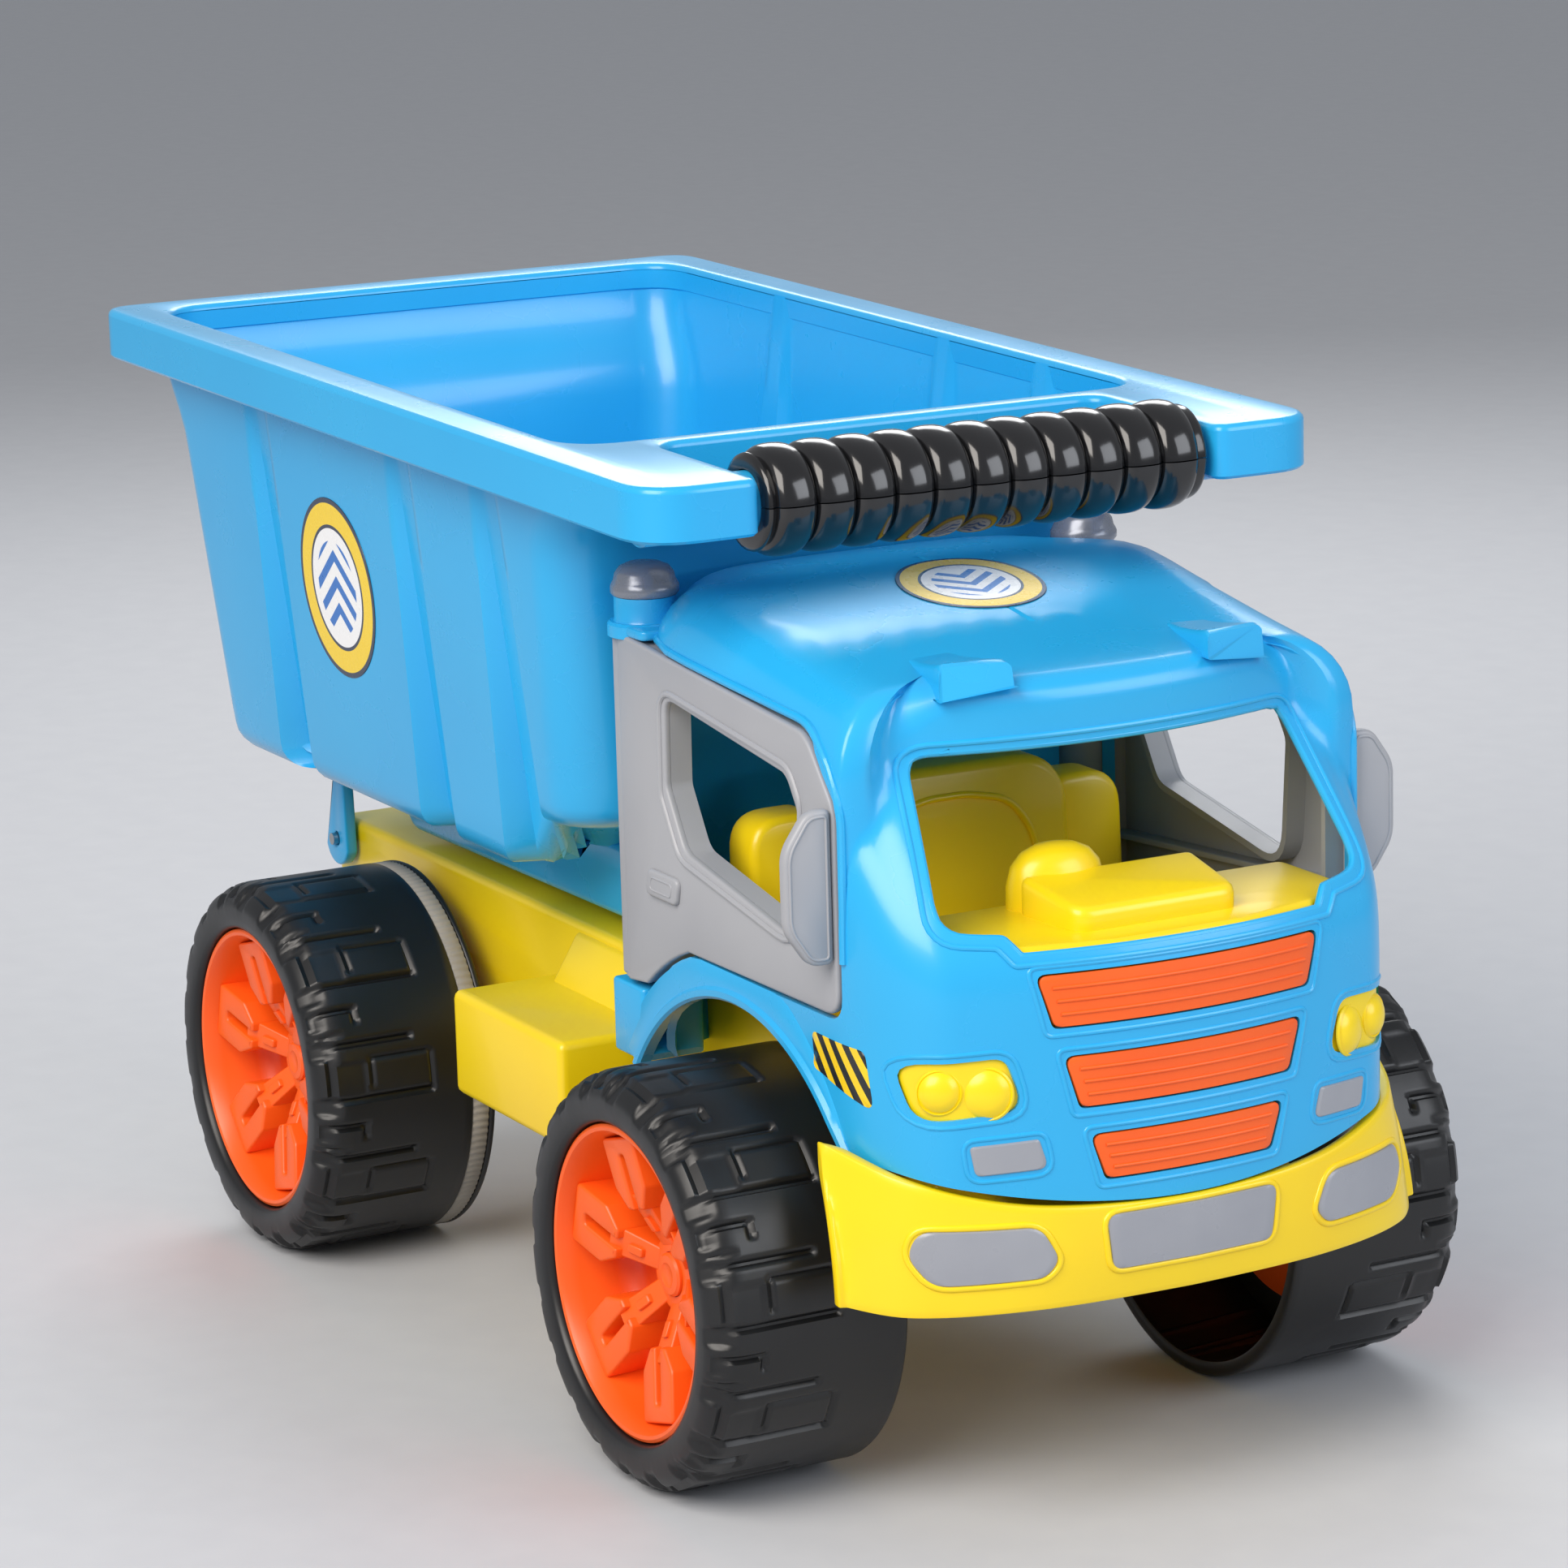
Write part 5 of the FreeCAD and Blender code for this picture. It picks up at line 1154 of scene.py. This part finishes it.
def makeSeats():
    ax = frontAxle
    parts = []
    face, back, low = seat["face"], seat["back"], seat["floor"]

    def upright(u, v, w):
        return (ax + w + (seat["top"] - v) * seat["recline"], u, v)
    wide, top = seat["wide"], seat["top"]
    big = roundCorners([(-wide, low, 2), (-wide, top, 18), (wide, top, 18), (wide, low, 2)], 10)
    parts.append(plate("seatBack", big, [], back, face, 3.0, upright))
    for sign in (1, -1):
        small = roundCorners([(sign * 38, low, 2), (sign * 38, top - 9, 6), (sign * 62, top - 9, 12),
                              (sign * 62, low, 2)], 8)
        parts.append(plate("sideSeat", small, [], back - 2, face - 5, 2.6, upright))
        # raised ridge down each bolster
        ridge = [(sign * 29, low + 14), (sign * 29, top - 24), (sign * 21, top - 12), (sign * 6, top - 9),
                 (0, top - 9)]
        parts.append(tube("ridge", [upright(u, v, face + 0.1) for u, v in openRound(ridge, 10)], 1.1))
    rear, front, half = ax + seat["shelfRear"], ax + seat["shelfFront"], seat["shelfHalf"]
    base = roundCorners([(rear, -half, 6), (front, -half, 6), (front, half, 6), (rear, half, 6)], 5)
    parts.append(plate("seatShelf", base, [], low - 0.6, low + 6, 1.5, upwards))
    cushion = roundCorners([(ax - 26, -40, 6), (ax + 16, -40, 14), (ax + 16, 40, 14), (ax - 26, 40, 6)], 7)
    parts.append(plate("seatCushion", cushion, [], low + 4, low + 17, 4, upwards))
    dress(join("seat.look", parts), "yellow_plastic", "truck", ["seat_unit"])


makeSeats()


dash = {"shelfLow": 150, "shelfHigh": 166.2, "dialX": 57, "dialY": -13, "dialSquash": 0.62, "boxRise": 4.5,
        "dial": ((15, 165.5), (15, 172), (13.5, 177.5), (10.5, 181), (6, 183), (1.5, 183.5))}


def makeDash():
    ax = frontAxle
    parts = []
    wide = roundCorners([(ax + 50, -66, 4), (ax + 84, -66, 16), (ax + 95, -46, 10), (ax + 101.5, -20, 10),
                         (ax + 101.5, 20, 10), (ax + 95, 46, 10), (ax + 84, 66, 16), (ax + 50, 66, 4)], 6)
    parts.append(plate("dashShelf", wide, [], dash["shelfLow"], dash["shelfHigh"], 2.2, upwards))
    parts.append(brick("dashFoot", ax + 50, ax + 56, -62, 62, 124, dash["shelfLow"] + 2, 2))
    box = roundCorners([(ax + 62, -28, 3), (ax + 90, -26, 6), (ax + 90, 26, 6), (ax + 62, 28, 3)], 5)

    def raised(u, v, w):
        return (u, v, w + (dash["boxRise"] * (ax + 90 - u) / 28 if w > 168 else 0))
    parts.append(plate("binnacle", box, [], 164, 172.4, 2.4, raised))
    rings = []
    for r, h in dash["dial"]:
        rings.append([(ax + dash["dialX"] + r * dash["dialSquash"] * math.cos(t),
                       dash["dialY"] + r * math.sin(t), h) for t in circle(32)])
    parts.append(loft("dial", rings))
    dress(join("dash.look", parts), "yellow_plastic", "truck", ["dashboard"])


makeDash()
print("interior made")


bucket = {
    "tail": -253.8, "front": 150.0, "half": 110.4, "high": 292.0, "slope": 0.0198, "skirt": 16.0,
    "mouthTail": -239.0, "mouthFront": 75.5, "mouthHalf": 95.0, "armIn": 74.0, "armFrom": 84.0,
    "low": 147.0, "lowHalf": 88.0, "wallTail": -220.0, "wallFront": 55.5, "deep": 118.0,
    "step": 13.5, "stepHigh": 165.0, "wall": 3.0, "sideOut": 9, "tailOut": 11.5, "frontOut": 6,
    "flareFrom": 250, "flareOver": 32, "lipIn": 0.6, "lipOut": 2.9, "corner": 20, "cornerTight": 5,
    "grooveHalf": 12, "grooveDeep": 9, "grooveShallow": 7, "fillet": 8.0, "filletInside": 12.0, "rows": 22,
    "keelHalf": 50, "pinX": -190.3, "pinZ": 114.5, "legIn": 56.2, "legOut": 60.3, "legRound": 9,
    "pinHole": 2.3,
    "barX": 135.0, "barZ": 275.0, "barRound": 9.0, "barHalf": 106,
}
grooves = [-153.5, -43.5, 17.5]


def rimHigh(x):
    return bucket["high"] - (x - bucket["tail"]) * bucket["slope"]


# the bucket's wall at height z as a ring, with its upright channels
def bucketRing(z, inset=0.0):
    s = (z - bucket["low"]) / bucket["deep"]
    half = bucket["lowHalf"] + bucket["sideOut"] * s - inset
    tail = bucket["wallTail"] - bucket["tailOut"] * s + inset
    front = bucket["wallFront"] + bucket["frontOut"] * s - inset
    flare = clamped((z - bucket["flareFrom"]) / bucket["flareOver"])
    flare = flare * flare * (3 - 2 * flare)
    past = bucket["lipIn"] if inset else bucket["lipOut"]
    front += (bucket["mouthFront"] + past - front) * flare
    tail += (bucket["mouthTail"] - past - tail) * flare
    half = min(half, bucket["mouthHalf"] + past)
    wide = bucket["grooveHalf"] * (1 - 0.4 * s)
    side = []
    xs = []
    for centre in grooves:
        for d in (-wide - 3.5, -wide - 1.2, -wide, -wide + 2.5, -wide * 0.3, wide * 0.3, wide - 2.5, wide,
                  wide + 1.2, wide + 3.5):
            xs.append(centre + d)
    corner = bucket["corner"] - bucket["cornerTight"] * s
    start, end = tail + corner, front - corner
    edges = [start] + sorted(xs) + [end]
    for x in edges:
        depth = 0.0
        for centre in grooves:
            d = abs(x - centre)
            full = bucket["grooveDeep"] - bucket["grooveShallow"] * s
            inner, outer = wide - 2.5, wide + 1.2
            if d < inner:
                depth = max(depth, full)
            elif d < outer:
                t = (outer - d) / (outer - inner)
                depth = max(depth, full * t * t * (3 - 2 * t))
        side.append((x, half - depth))
    ring = list(side)
    turns = [k / 8 * math.pi / 2 for k in range(1, 9)]
    deep = half - corner
    for t in turns:
        ring.append((front - corner * (1 - math.sin(t)), half - corner * (1 - math.cos(t))))
    for k in range(1, 8):
        ring.append((front, deep * (1 - k / 8 * 2)))
    ring += [(x, -y) for x, y in reversed(ring[:len(side) + 8])]
    for t in turns[:-1]:
        ring.append((tail + corner * (1 - math.sin(t)), -deep - corner * math.cos(t)))
    for k in range(0, 9):
        ring.append((tail, -deep * (1 - k / 8 * 2)))
    for t in turns[:-1]:
        ring.append((tail + corner * (1 - math.cos(t)), deep + corner * math.sin(t)))
    return ring


# the floor steps up towards the cab
def floorHigh(x, lift):
    t = min(1, max(0, (x - bucket["step"] + 8) / 16))
    return bucket["low"] + (bucket["stepHigh"] - bucket["low"]) * t * t * (3 - 2 * t) + lift


def makeBucketShell():
    def skin(inset, lift, roundness):
        rings = []
        # floor: rings shrinking to the middle, then a fillet up into the walls
        base = bucketRing(bucket["low"] + 4, inset)
        midX = (bucket["wallTail"] + bucket["wallFront"]) / 2
        for share in (0.02, 0.3, 0.6, 0.8, 0.9):
            rings.append([(midX + (x - midX) * share, y * share, floorHigh(midX + (x - midX) * share, lift))
                          for x, y in base])
        for k in range(0, 6):
            a = k / 5 * math.pi / 2
            pull = roundness * (1 - math.sin(a))
            edge = 1 - pull / 100
            row = []
            for x, y in bucketRing(bucket["low"] + 2 + k, inset):
                u = midX + (x - midX) * edge
                row.append((u, y * edge, floorHigh(u, lift) + roundness * (1 - math.cos(a))))
            rings.append(row)
        top = bucket["rows"]
        for k in range(1, top + 1):
            row = []
            z = bucket["low"] + roundness + (bucket["deep"] + 24 - roundness) * k / top
            for x, y in bucketRing(z, inset):
                start = floorHigh(x, lift) + roundness
                end = rimHigh(x) - 1.6
                row.append((x, y, start + (end - start) * k / top))
            rings.append(row)
        return rings
    outer = skin(0.0, 0.0, bucket["fillet"])
    inner = skin(bucket["wall"], bucket["wall"], bucket["filletInside"])
    outer = [[(x, y, min(z, rimHigh(x) - 2)) for x, y, z in row] for row in outer]
    rings = outer + list(reversed(inner))
    return loft("bucketShell", rings)


def rimOutline():
    tail, front, half = bucket["tail"], bucket["front"], bucket["half"]
    inner, slot = bucket["armIn"], bucket["armFrom"]
    return roundCorners([(tail, -half, 12), (front, -half, 28), (front, -inner, 5), (slot, -inner, 9),
                         (slot, inner, 9), (front, inner, 5), (front, half, 28), (tail, half, 12)], 8)


def makeBucketRim():
    outline = rimOutline()
    tail, front, half = bucket["mouthTail"], bucket["mouthFront"], bucket["mouthHalf"]
    mouth = roundCorners([(tail, -half, 17), (front, -half, 17), (front, half, 17), (tail, half, 17)], 8)

    def tilt(u, v, w):
        return (u, v, rimHigh(u) + w)
    top = plate("rimTop", outline, [mouth], -4.2, 0, 2.0, tilt)
    low = -bucket["skirt"]
    skirt = sweepLoop("rimSkirt", outline, [(0.0, -2.2), (0.0, low + 0.9), (0.9, low), (2.6, low),
                                            (3.2, low + 0.6), (3.2, -2.2)], tilt)
    lip = sweepLoop("mouthLip", mouth, [(0.0, -1.9), (0.0, -8.4), (-0.6, -9), (-3.4, -9), (-3.6, -1.9)], tilt)
    return [top, skirt, lip]


def makeBucketPiece():
    parts = [makeBucketShell()] + makeBucketRim()
    # keel under the floor and the two hinge legs
    keelLine = roundCorners([(-159, 149, 2), (7, 149, 3), (20, 164, 3), (51, 166, 2), (51.5, 142, 6),
                             (30, 126, 10), (-150, 124, 8), (-159, 132, 6)], 5)
    parts.append(plate("keel", keelLine, [], -bucket["keelHalf"], bucket["keelHalf"], 2.5, sideways))
    pinX, pinZ = bucket["pinX"], bucket["pinZ"]
    for sign in (1, -1):
        leg = [(pinX + bucket["legRound"] * math.cos(a), pinZ + bucket["legRound"] * math.sin(a)) for a in
               [math.radians(200 + 140 * k / 14) for k in range(15)]]
        leg = leg + roundCorners([(pinX + 34, 152, 3), (pinX - 24, 152, 3)], 1)
        hole = [(pinX + bucket["pinHole"] * math.cos(a), pinZ + bucket["pinHole"] * math.sin(a))
                for a in circle(24)]
        low, high = sorted((sign * bucket["legIn"], sign * bucket["legOut"]))
        parts.append(plate("leg", leg, [hole], low, high, 0.8, sideways))
    # cross bar that the grips are fitted over
    r, half = bucket["barRound"], bucket["barHalf"]
    bar = [(0.01, -half), (r - 1, -half), (r, 1 - half), (r, half - 1), (r - 1, half), (0.01, half)]
    parts.append(revolve("bar", bar, bucket["barX"], bucket["barZ"], 40))
    whole = join("bucket.look", parts)
    dress(whole, "blue_plastic", "bucket", ["dump_bucket"], angle=34)


makeBucketPiece()

# one rib's outline along the bar, as (share of the pitch, radius before swelling)
grip = {"round": 15.9, "half": 71.5, "ribs": 11, "gap": 0.012, "end": 3,
        "rib": ((0.0, 12.0), (0.03, 12.9), (0.09, 13.8), (0.19, 14.5), (0.33, 14.9), (0.5, 15.0),
                (0.67, 14.9), (0.81, 14.5), (0.91, 13.8), (0.97, 12.9))}


def makeGrip(name, node, upper):
    half, count = grip["half"], grip["ribs"]
    pitch = 2 * (half - grip["end"]) / count
    profile = [(9.4, -half), (12.4, -half), (13.6, -half + 0.5), (13.9, -half + 1.4)]
    for k in range(count):
        y0 = -half + grip["end"] + pitch * k
        for f, r in grip["rib"]:
            profile.append((r + grip["round"] - 15, y0 + pitch * f))
    profile += [(13.9, half - 1.4), (13.6, half - 0.5), (12.4, half), (9.4, half)]
    gap = grip["gap"]
    start = gap if upper else math.pi + gap
    made = revolve(name, profile, bucket["barX"], bucket["barZ"], 40, 1, start, math.pi - 2 * gap)
    dress(made, "handle_black", "bucket", [node], angle=50)


makeGrip("grip_upper.look", "handle_grip_upper", True)
makeGrip("grip_lower.look", "handle_grip_lower", False)
print("bucket made")


capDome = [(0.01, 240.6), (9.4, 240.6), (10.0, 241.4), (10.0, 243.2), (9.4, 244.4), (9.1, 244.9),
           (8.6, 247.0), (7.2, 248.8), (4.8, 249.8), (2.2, 250), (0.01, 250)]
for hand, sign in (("left", 1), ("right", -1)):
    x, y = truck["doorX"], sign * truck["doorY"]
    rings = [[(x + r * math.cos(a), y + r * math.sin(a), h) for r, h in capDome] for a in circle(48)]
    rings.append(rings[0])
    cap = sheet(f"exhaustCap_{hand}", rings)
    dress(cap, "cap_silver", "truck", [f"exhaust_cap_{hand}"])


# printed vinyl: patterns are drawn with node math around the sticker's own centre
def printFilm(name, look):
    mat = bpy.data.materials.new(name)
    mat.use_nodes = True
    tree = mat.node_tree
    tree.nodes.clear()
    where = addNode(tree, "ShaderNodeTexCoord").outputs["Object"]
    local = addNode(tree, "ShaderNodeMapping", {"Location": [-c * mm for c in look["centre"]]},
                    {"Vector": where})
    parts = addNode(tree, "ShaderNodeSeparateXYZ", {}, {"Vector": local.outputs["Vector"]})

    def work(kind, a, b=None, clamp=False):
        made = addNode(tree, "ShaderNodeMath", operation=kind, use_clamp=clamp)
        for index, value in enumerate((a, b)):
            if value is None:
                continue
            if isinstance(value, (int, float)):
                made.inputs[index].default_value = value
            else:
                tree.links.new(value, made.inputs[index])
        return made.outputs["Value"]
    u, v = parts.outputs[look["u"]], parts.outputs[look["v"]]
    su, sv = work("DIVIDE", u, look["wide"] * mm), work("DIVIDE", v, look["tall"] * mm)
    radius = work("SQRT", work("ADD", work("MULTIPLY", su, su), work("MULTIPLY", sv, sv)))

    def layer(under, mask, code):
        mix = addNode(tree, "ShaderNodeMix", {}, {"Factor": mask}, data_type="RGBA")
        if isinstance(under, str):
            mix.inputs["A"].default_value = rgb(under)
        else:
            tree.links.new(under, mix.inputs["A"])
        mix.inputs["B"].default_value = rgb(code)
        return mix.outputs["Result"]
    colour = look["draw"](layer, work, su, sv, radius)
    grain = addNode(tree, "ShaderNodeTexNoise", {"Scale": 1000 / 4.0, "Detail": 3.0}, {"Vector": where})
    rough = addNode(tree, "ShaderNodeMapRange", {"To Min": 0.22, "To Max": 0.34},
                    {"Value": grain.outputs["Fac"]})
    ripple = addNode(tree, "ShaderNodeBump", {"Strength": 0.08, "Distance": 0.0003},
                     {"Height": grain.outputs["Fac"]})
    shader = addNode(tree, "ShaderNodeBsdfPrincipled", {"IOR": 1.5, "Coat Weight": 0.2},
                     {"Base Color": colour, "Roughness": rough.outputs["Result"],
                      "Normal": ripple.outputs["Normal"]})
    addNode(tree, "ShaderNodeOutputMaterial", {}, {"Surface": shader.outputs["BSDF"]})
    mat.diffuse_color = rgb("F5D327")
    return mat


# white disc, dark line, yellow ring and three chevrons
def badge(layer, work, su, sv, radius):
    colour = layer("F6D21F", work("LESS_THAN", radius, 0.70), "22304A")
    colour = layer(colour, work("LESS_THAN", radius, 0.66), "F4F5F6")
    colour = layer(colour, work("GREATER_THAN", radius, 0.94), "22304A")
    bent = work("ADD", sv, work("MULTIPLY", work("ABSOLUTE", su), 0.75))
    stripes = work("LESS_THAN", work("FRACT", work("MULTIPLY", bent, 3.4)), 0.45)
    inside = work("MULTIPLY", work("LESS_THAN", radius, 0.52), stripes)
    upperOnly = work("MULTIPLY", inside, work("GREATER_THAN", bent, -0.35))
    return layer(colour, upperOnly, "1F6FC4")


def hazard(layer, work, su, sv, radius):
    slant = work("ADD", su, work("MULTIPLY", sv, 0.5))
    stripes = work("LESS_THAN", work("FRACT", work("MULTIPLY", slant, 2.2)), 0.5)
    return layer("F5CE1B", stripes, "1E1F22")


# a thin round film laid on a surface
def disc(name, centre, wide, tall, surface):
    rings = []
    for share, lift in ((1.0, 0.05), (0.995, 0.2), (0.8, 0.2), (0.6, 0.2), (0.4, 0.2), (0.2, 0.2),
                        (0.02, 0.2)):
        rings.append([surface(centre[0] + wide * share * math.cos(t),
                              centre[1] + tall * share * math.sin(t), lift)
                      for t in circle(64)])
    return loft(name, rings, False, True)


roofMiddle, roofRound = (frontAxle - 8.5, 0.0), 21.5
roofFilm = printFilm("printedVinylRoof", {"centre": (roofMiddle[0], 0, 245), "u": "Y", "v": "X",
                                          "wide": roofRound, "tall": roofRound, "draw": badge})


def roofFilmPlace(u, v, lift):
    return (u, v, roofHigh(u - frontAxle, v) + lift + 0.15)


roofSticker = disc("roofSticker", roofMiddle, roofRound, roofRound, roofFilmPlace)
dress(roofSticker, "sticker_print", "truck", ["roof_sticker"], look=roofFilm)

kite = {"corners": [(43.5, 137.5, 2), (70, 137.2, 3), (73, 121, 2.5), (45, 127.5, 2.5)],
        "middle": (58.5, 131)}
kiteX, kiteZ = frontAxle + kite["middle"][0], kite["middle"][1]
kiteFilm = printFilm("printedVinylHazard", {"centre": (kiteX, 0, kiteZ), "u": "X", "v": "Z", "wide": 15.0,
                                            "tall": 9.0, "draw": hazard})
cabTree = BVHTree.FromObject(bpy.data.objects["cab.look"], bpy.context.evaluated_depsgraph_get())
for hand, sign in (("left", 1), ("right", -1)):
    ring = dense([(frontAxle + u, v) for u, v in roundCorners(kite["corners"], 5)], 1.5)
    rings = []
    for share, lift in ((1.0, 0.05), (0.985, 0.22), (0.7, 0.22), (0.4, 0.22), (0.05, 0.22)):
        row = []
        for u, v in ring:
            u, v = kiteX + (u - kiteX) * share, kiteZ + (v - kiteZ) * share
            hit = cabTree.ray_cast(Vector((u * mm, sign * 0.12, v * mm)), Vector((0, -sign, 0)))[0]
            row.append((u, hit.y / mm + sign * lift, v))
        rings.append(row)
    dress(loft(f"cabSticker_{hand}", rings, False, True), "sticker_print", "truck", look=kiteFilm)

bucketTree = BVHTree.FromObject(bpy.data.objects["bucket.look"], bpy.context.evaluated_depsgraph_get())
badgePlace = {"x": -101.5, "z": 217.5, "wide": 28.0, "tall": 29.0}
sideFilm = printFilm("printedVinylSide", {"centre": (badgePlace["x"], 0, badgePlace["z"]), "u": "X", "v": "Z",
                                          "wide": badgePlace["wide"], "tall": badgePlace["tall"],
                                          "draw": badge})
for hand, sign in (("left", 1), ("right", -1)):
    def onBucket(u, v, lift, sign=sign):
        hit = bucketTree.ray_cast(Vector((u * mm, sign * 0.105, v * mm)), Vector((0, -sign, 0)))[0]
        spot = hit / mm + Vector((0, sign, 0)) * (lift + 0.05)
        return (spot.x, spot.y, spot.z)
    film = disc(f"bucketSticker_{hand}", (badgePlace["x"], badgePlace["z"]), badgePlace["wide"],
                badgePlace["tall"], onBucket)
    dress(film, "sticker_print", "bucket", [f"bucket_sticker_{hand}"], look=sideFilm)

for name in ("axle_front", "axle_rear", "push_nuts", "hinge_pin", "chassis_screws"):
    node = frame["nodes"].get(name)
    if node:
        for material in node.material_slots:
            material.material = steelBright
print("stickers and steel done")


studio = {"floorColour": "C9CBCF", "floorShade": "C2C4C9", "key": 37, "fill": 12, "rim": 10, "sky": 0.44,
          "lens": 122.55}


def paperFloor():
    mat = bpy.data.materials.new("paperSweep")
    mat.use_nodes = True
    tree = mat.node_tree
    tree.nodes.clear()
    where = addNode(tree, "ShaderNodeTexCoord").outputs["Object"]
    grain = addNode(tree, "ShaderNodeTexNoise", {"Scale": 60.0, "Detail": 4.0}, {"Vector": where})
    tint = addNode(tree, "ShaderNodeMix", {"A": rgb(studio["floorColour"]), "B": rgb(studio["floorShade"])},
                   {"Factor": grain.outputs["Fac"]}, data_type="RGBA")
    shader = addNode(tree, "ShaderNodeBsdfPrincipled", {"Roughness": 0.75, "IOR": 1.45},
                     {"Base Color": tint.outputs["Result"]})
    addNode(tree, "ShaderNodeOutputMaterial", {}, {"Surface": shader.outputs["BSDF"]})
    return mat


bpy.ops.mesh.primitive_plane_add(size=14, location=(0, 0, 0))
floor = bpy.context.object
floor.name = "studioFloor"
floor.data.materials.append(paperFloor())


def softLight(name, spot, aim, size, watts, colour):
    data = bpy.data.lights.new(name, "AREA")
    data.shape = "RECTANGLE"
    data.size, data.size_y = size
    data.energy = watts
    data.color = rgb(colour)[:3]
    lamp = bpy.data.objects.new(name, data)
    bpy.context.scene.collection.objects.link(lamp)
    lamp.location = spot
    lamp.rotation_euler = (Vector(aim) - Vector(spot)).to_track_quat("-Z", "Y").to_euler()


softLight("keyBox", (0.75, -1.3, 1.35), (0, 0, 0.12), (1.3, 1.3), studio["key"], "FFF8F0")
softLight("fillBox", (1.5, 0.9, 0.9), (0, 0, 0.12), (1.0, 1.0), studio["fill"], "F4F8FF")
softLight("rimBox", (-1.2, 0.7, 1.1), (0, 0, 0.15), (1.0, 0.6), studio["rim"], "FFFFFF")

world = bpy.data.worlds.new("studioSky")
bpy.context.scene.world = world
world.use_nodes = True
sky = world.node_tree
sky.nodes.clear()
dome = addNode(sky, "ShaderNodeBackground", {"Color": rgb("EEF1F6"), "Strength": studio["sky"]})
addNode(sky, "ShaderNodeOutputWorld", {}, {"Surface": dome.outputs["Background"]})

lens = bpy.data.cameras.new("viewCamera")
lens.sensor_width = 36
lens.lens = studio["lens"]
camera = bpy.data.objects.new("viewCamera", lens)
bpy.context.scene.collection.objects.link(camera)
right = Vector((0.47426723, 0.87995316, -0.02744127))
down = Vector((0.18126124, -0.12810119, -0.97505613))
forward = Vector((-0.86151898, 0.45746313, -0.2202556))
turn = Matrix((right, -down, -forward)).transposed().to_4x4()
camera.matrix_world = Matrix.Translation(Vector((1.42608, -0.74742, 0.52398))) @ turn
bpy.context.scene.camera = camera
bpy.context.scene.view_settings.view_transform = "Standard"
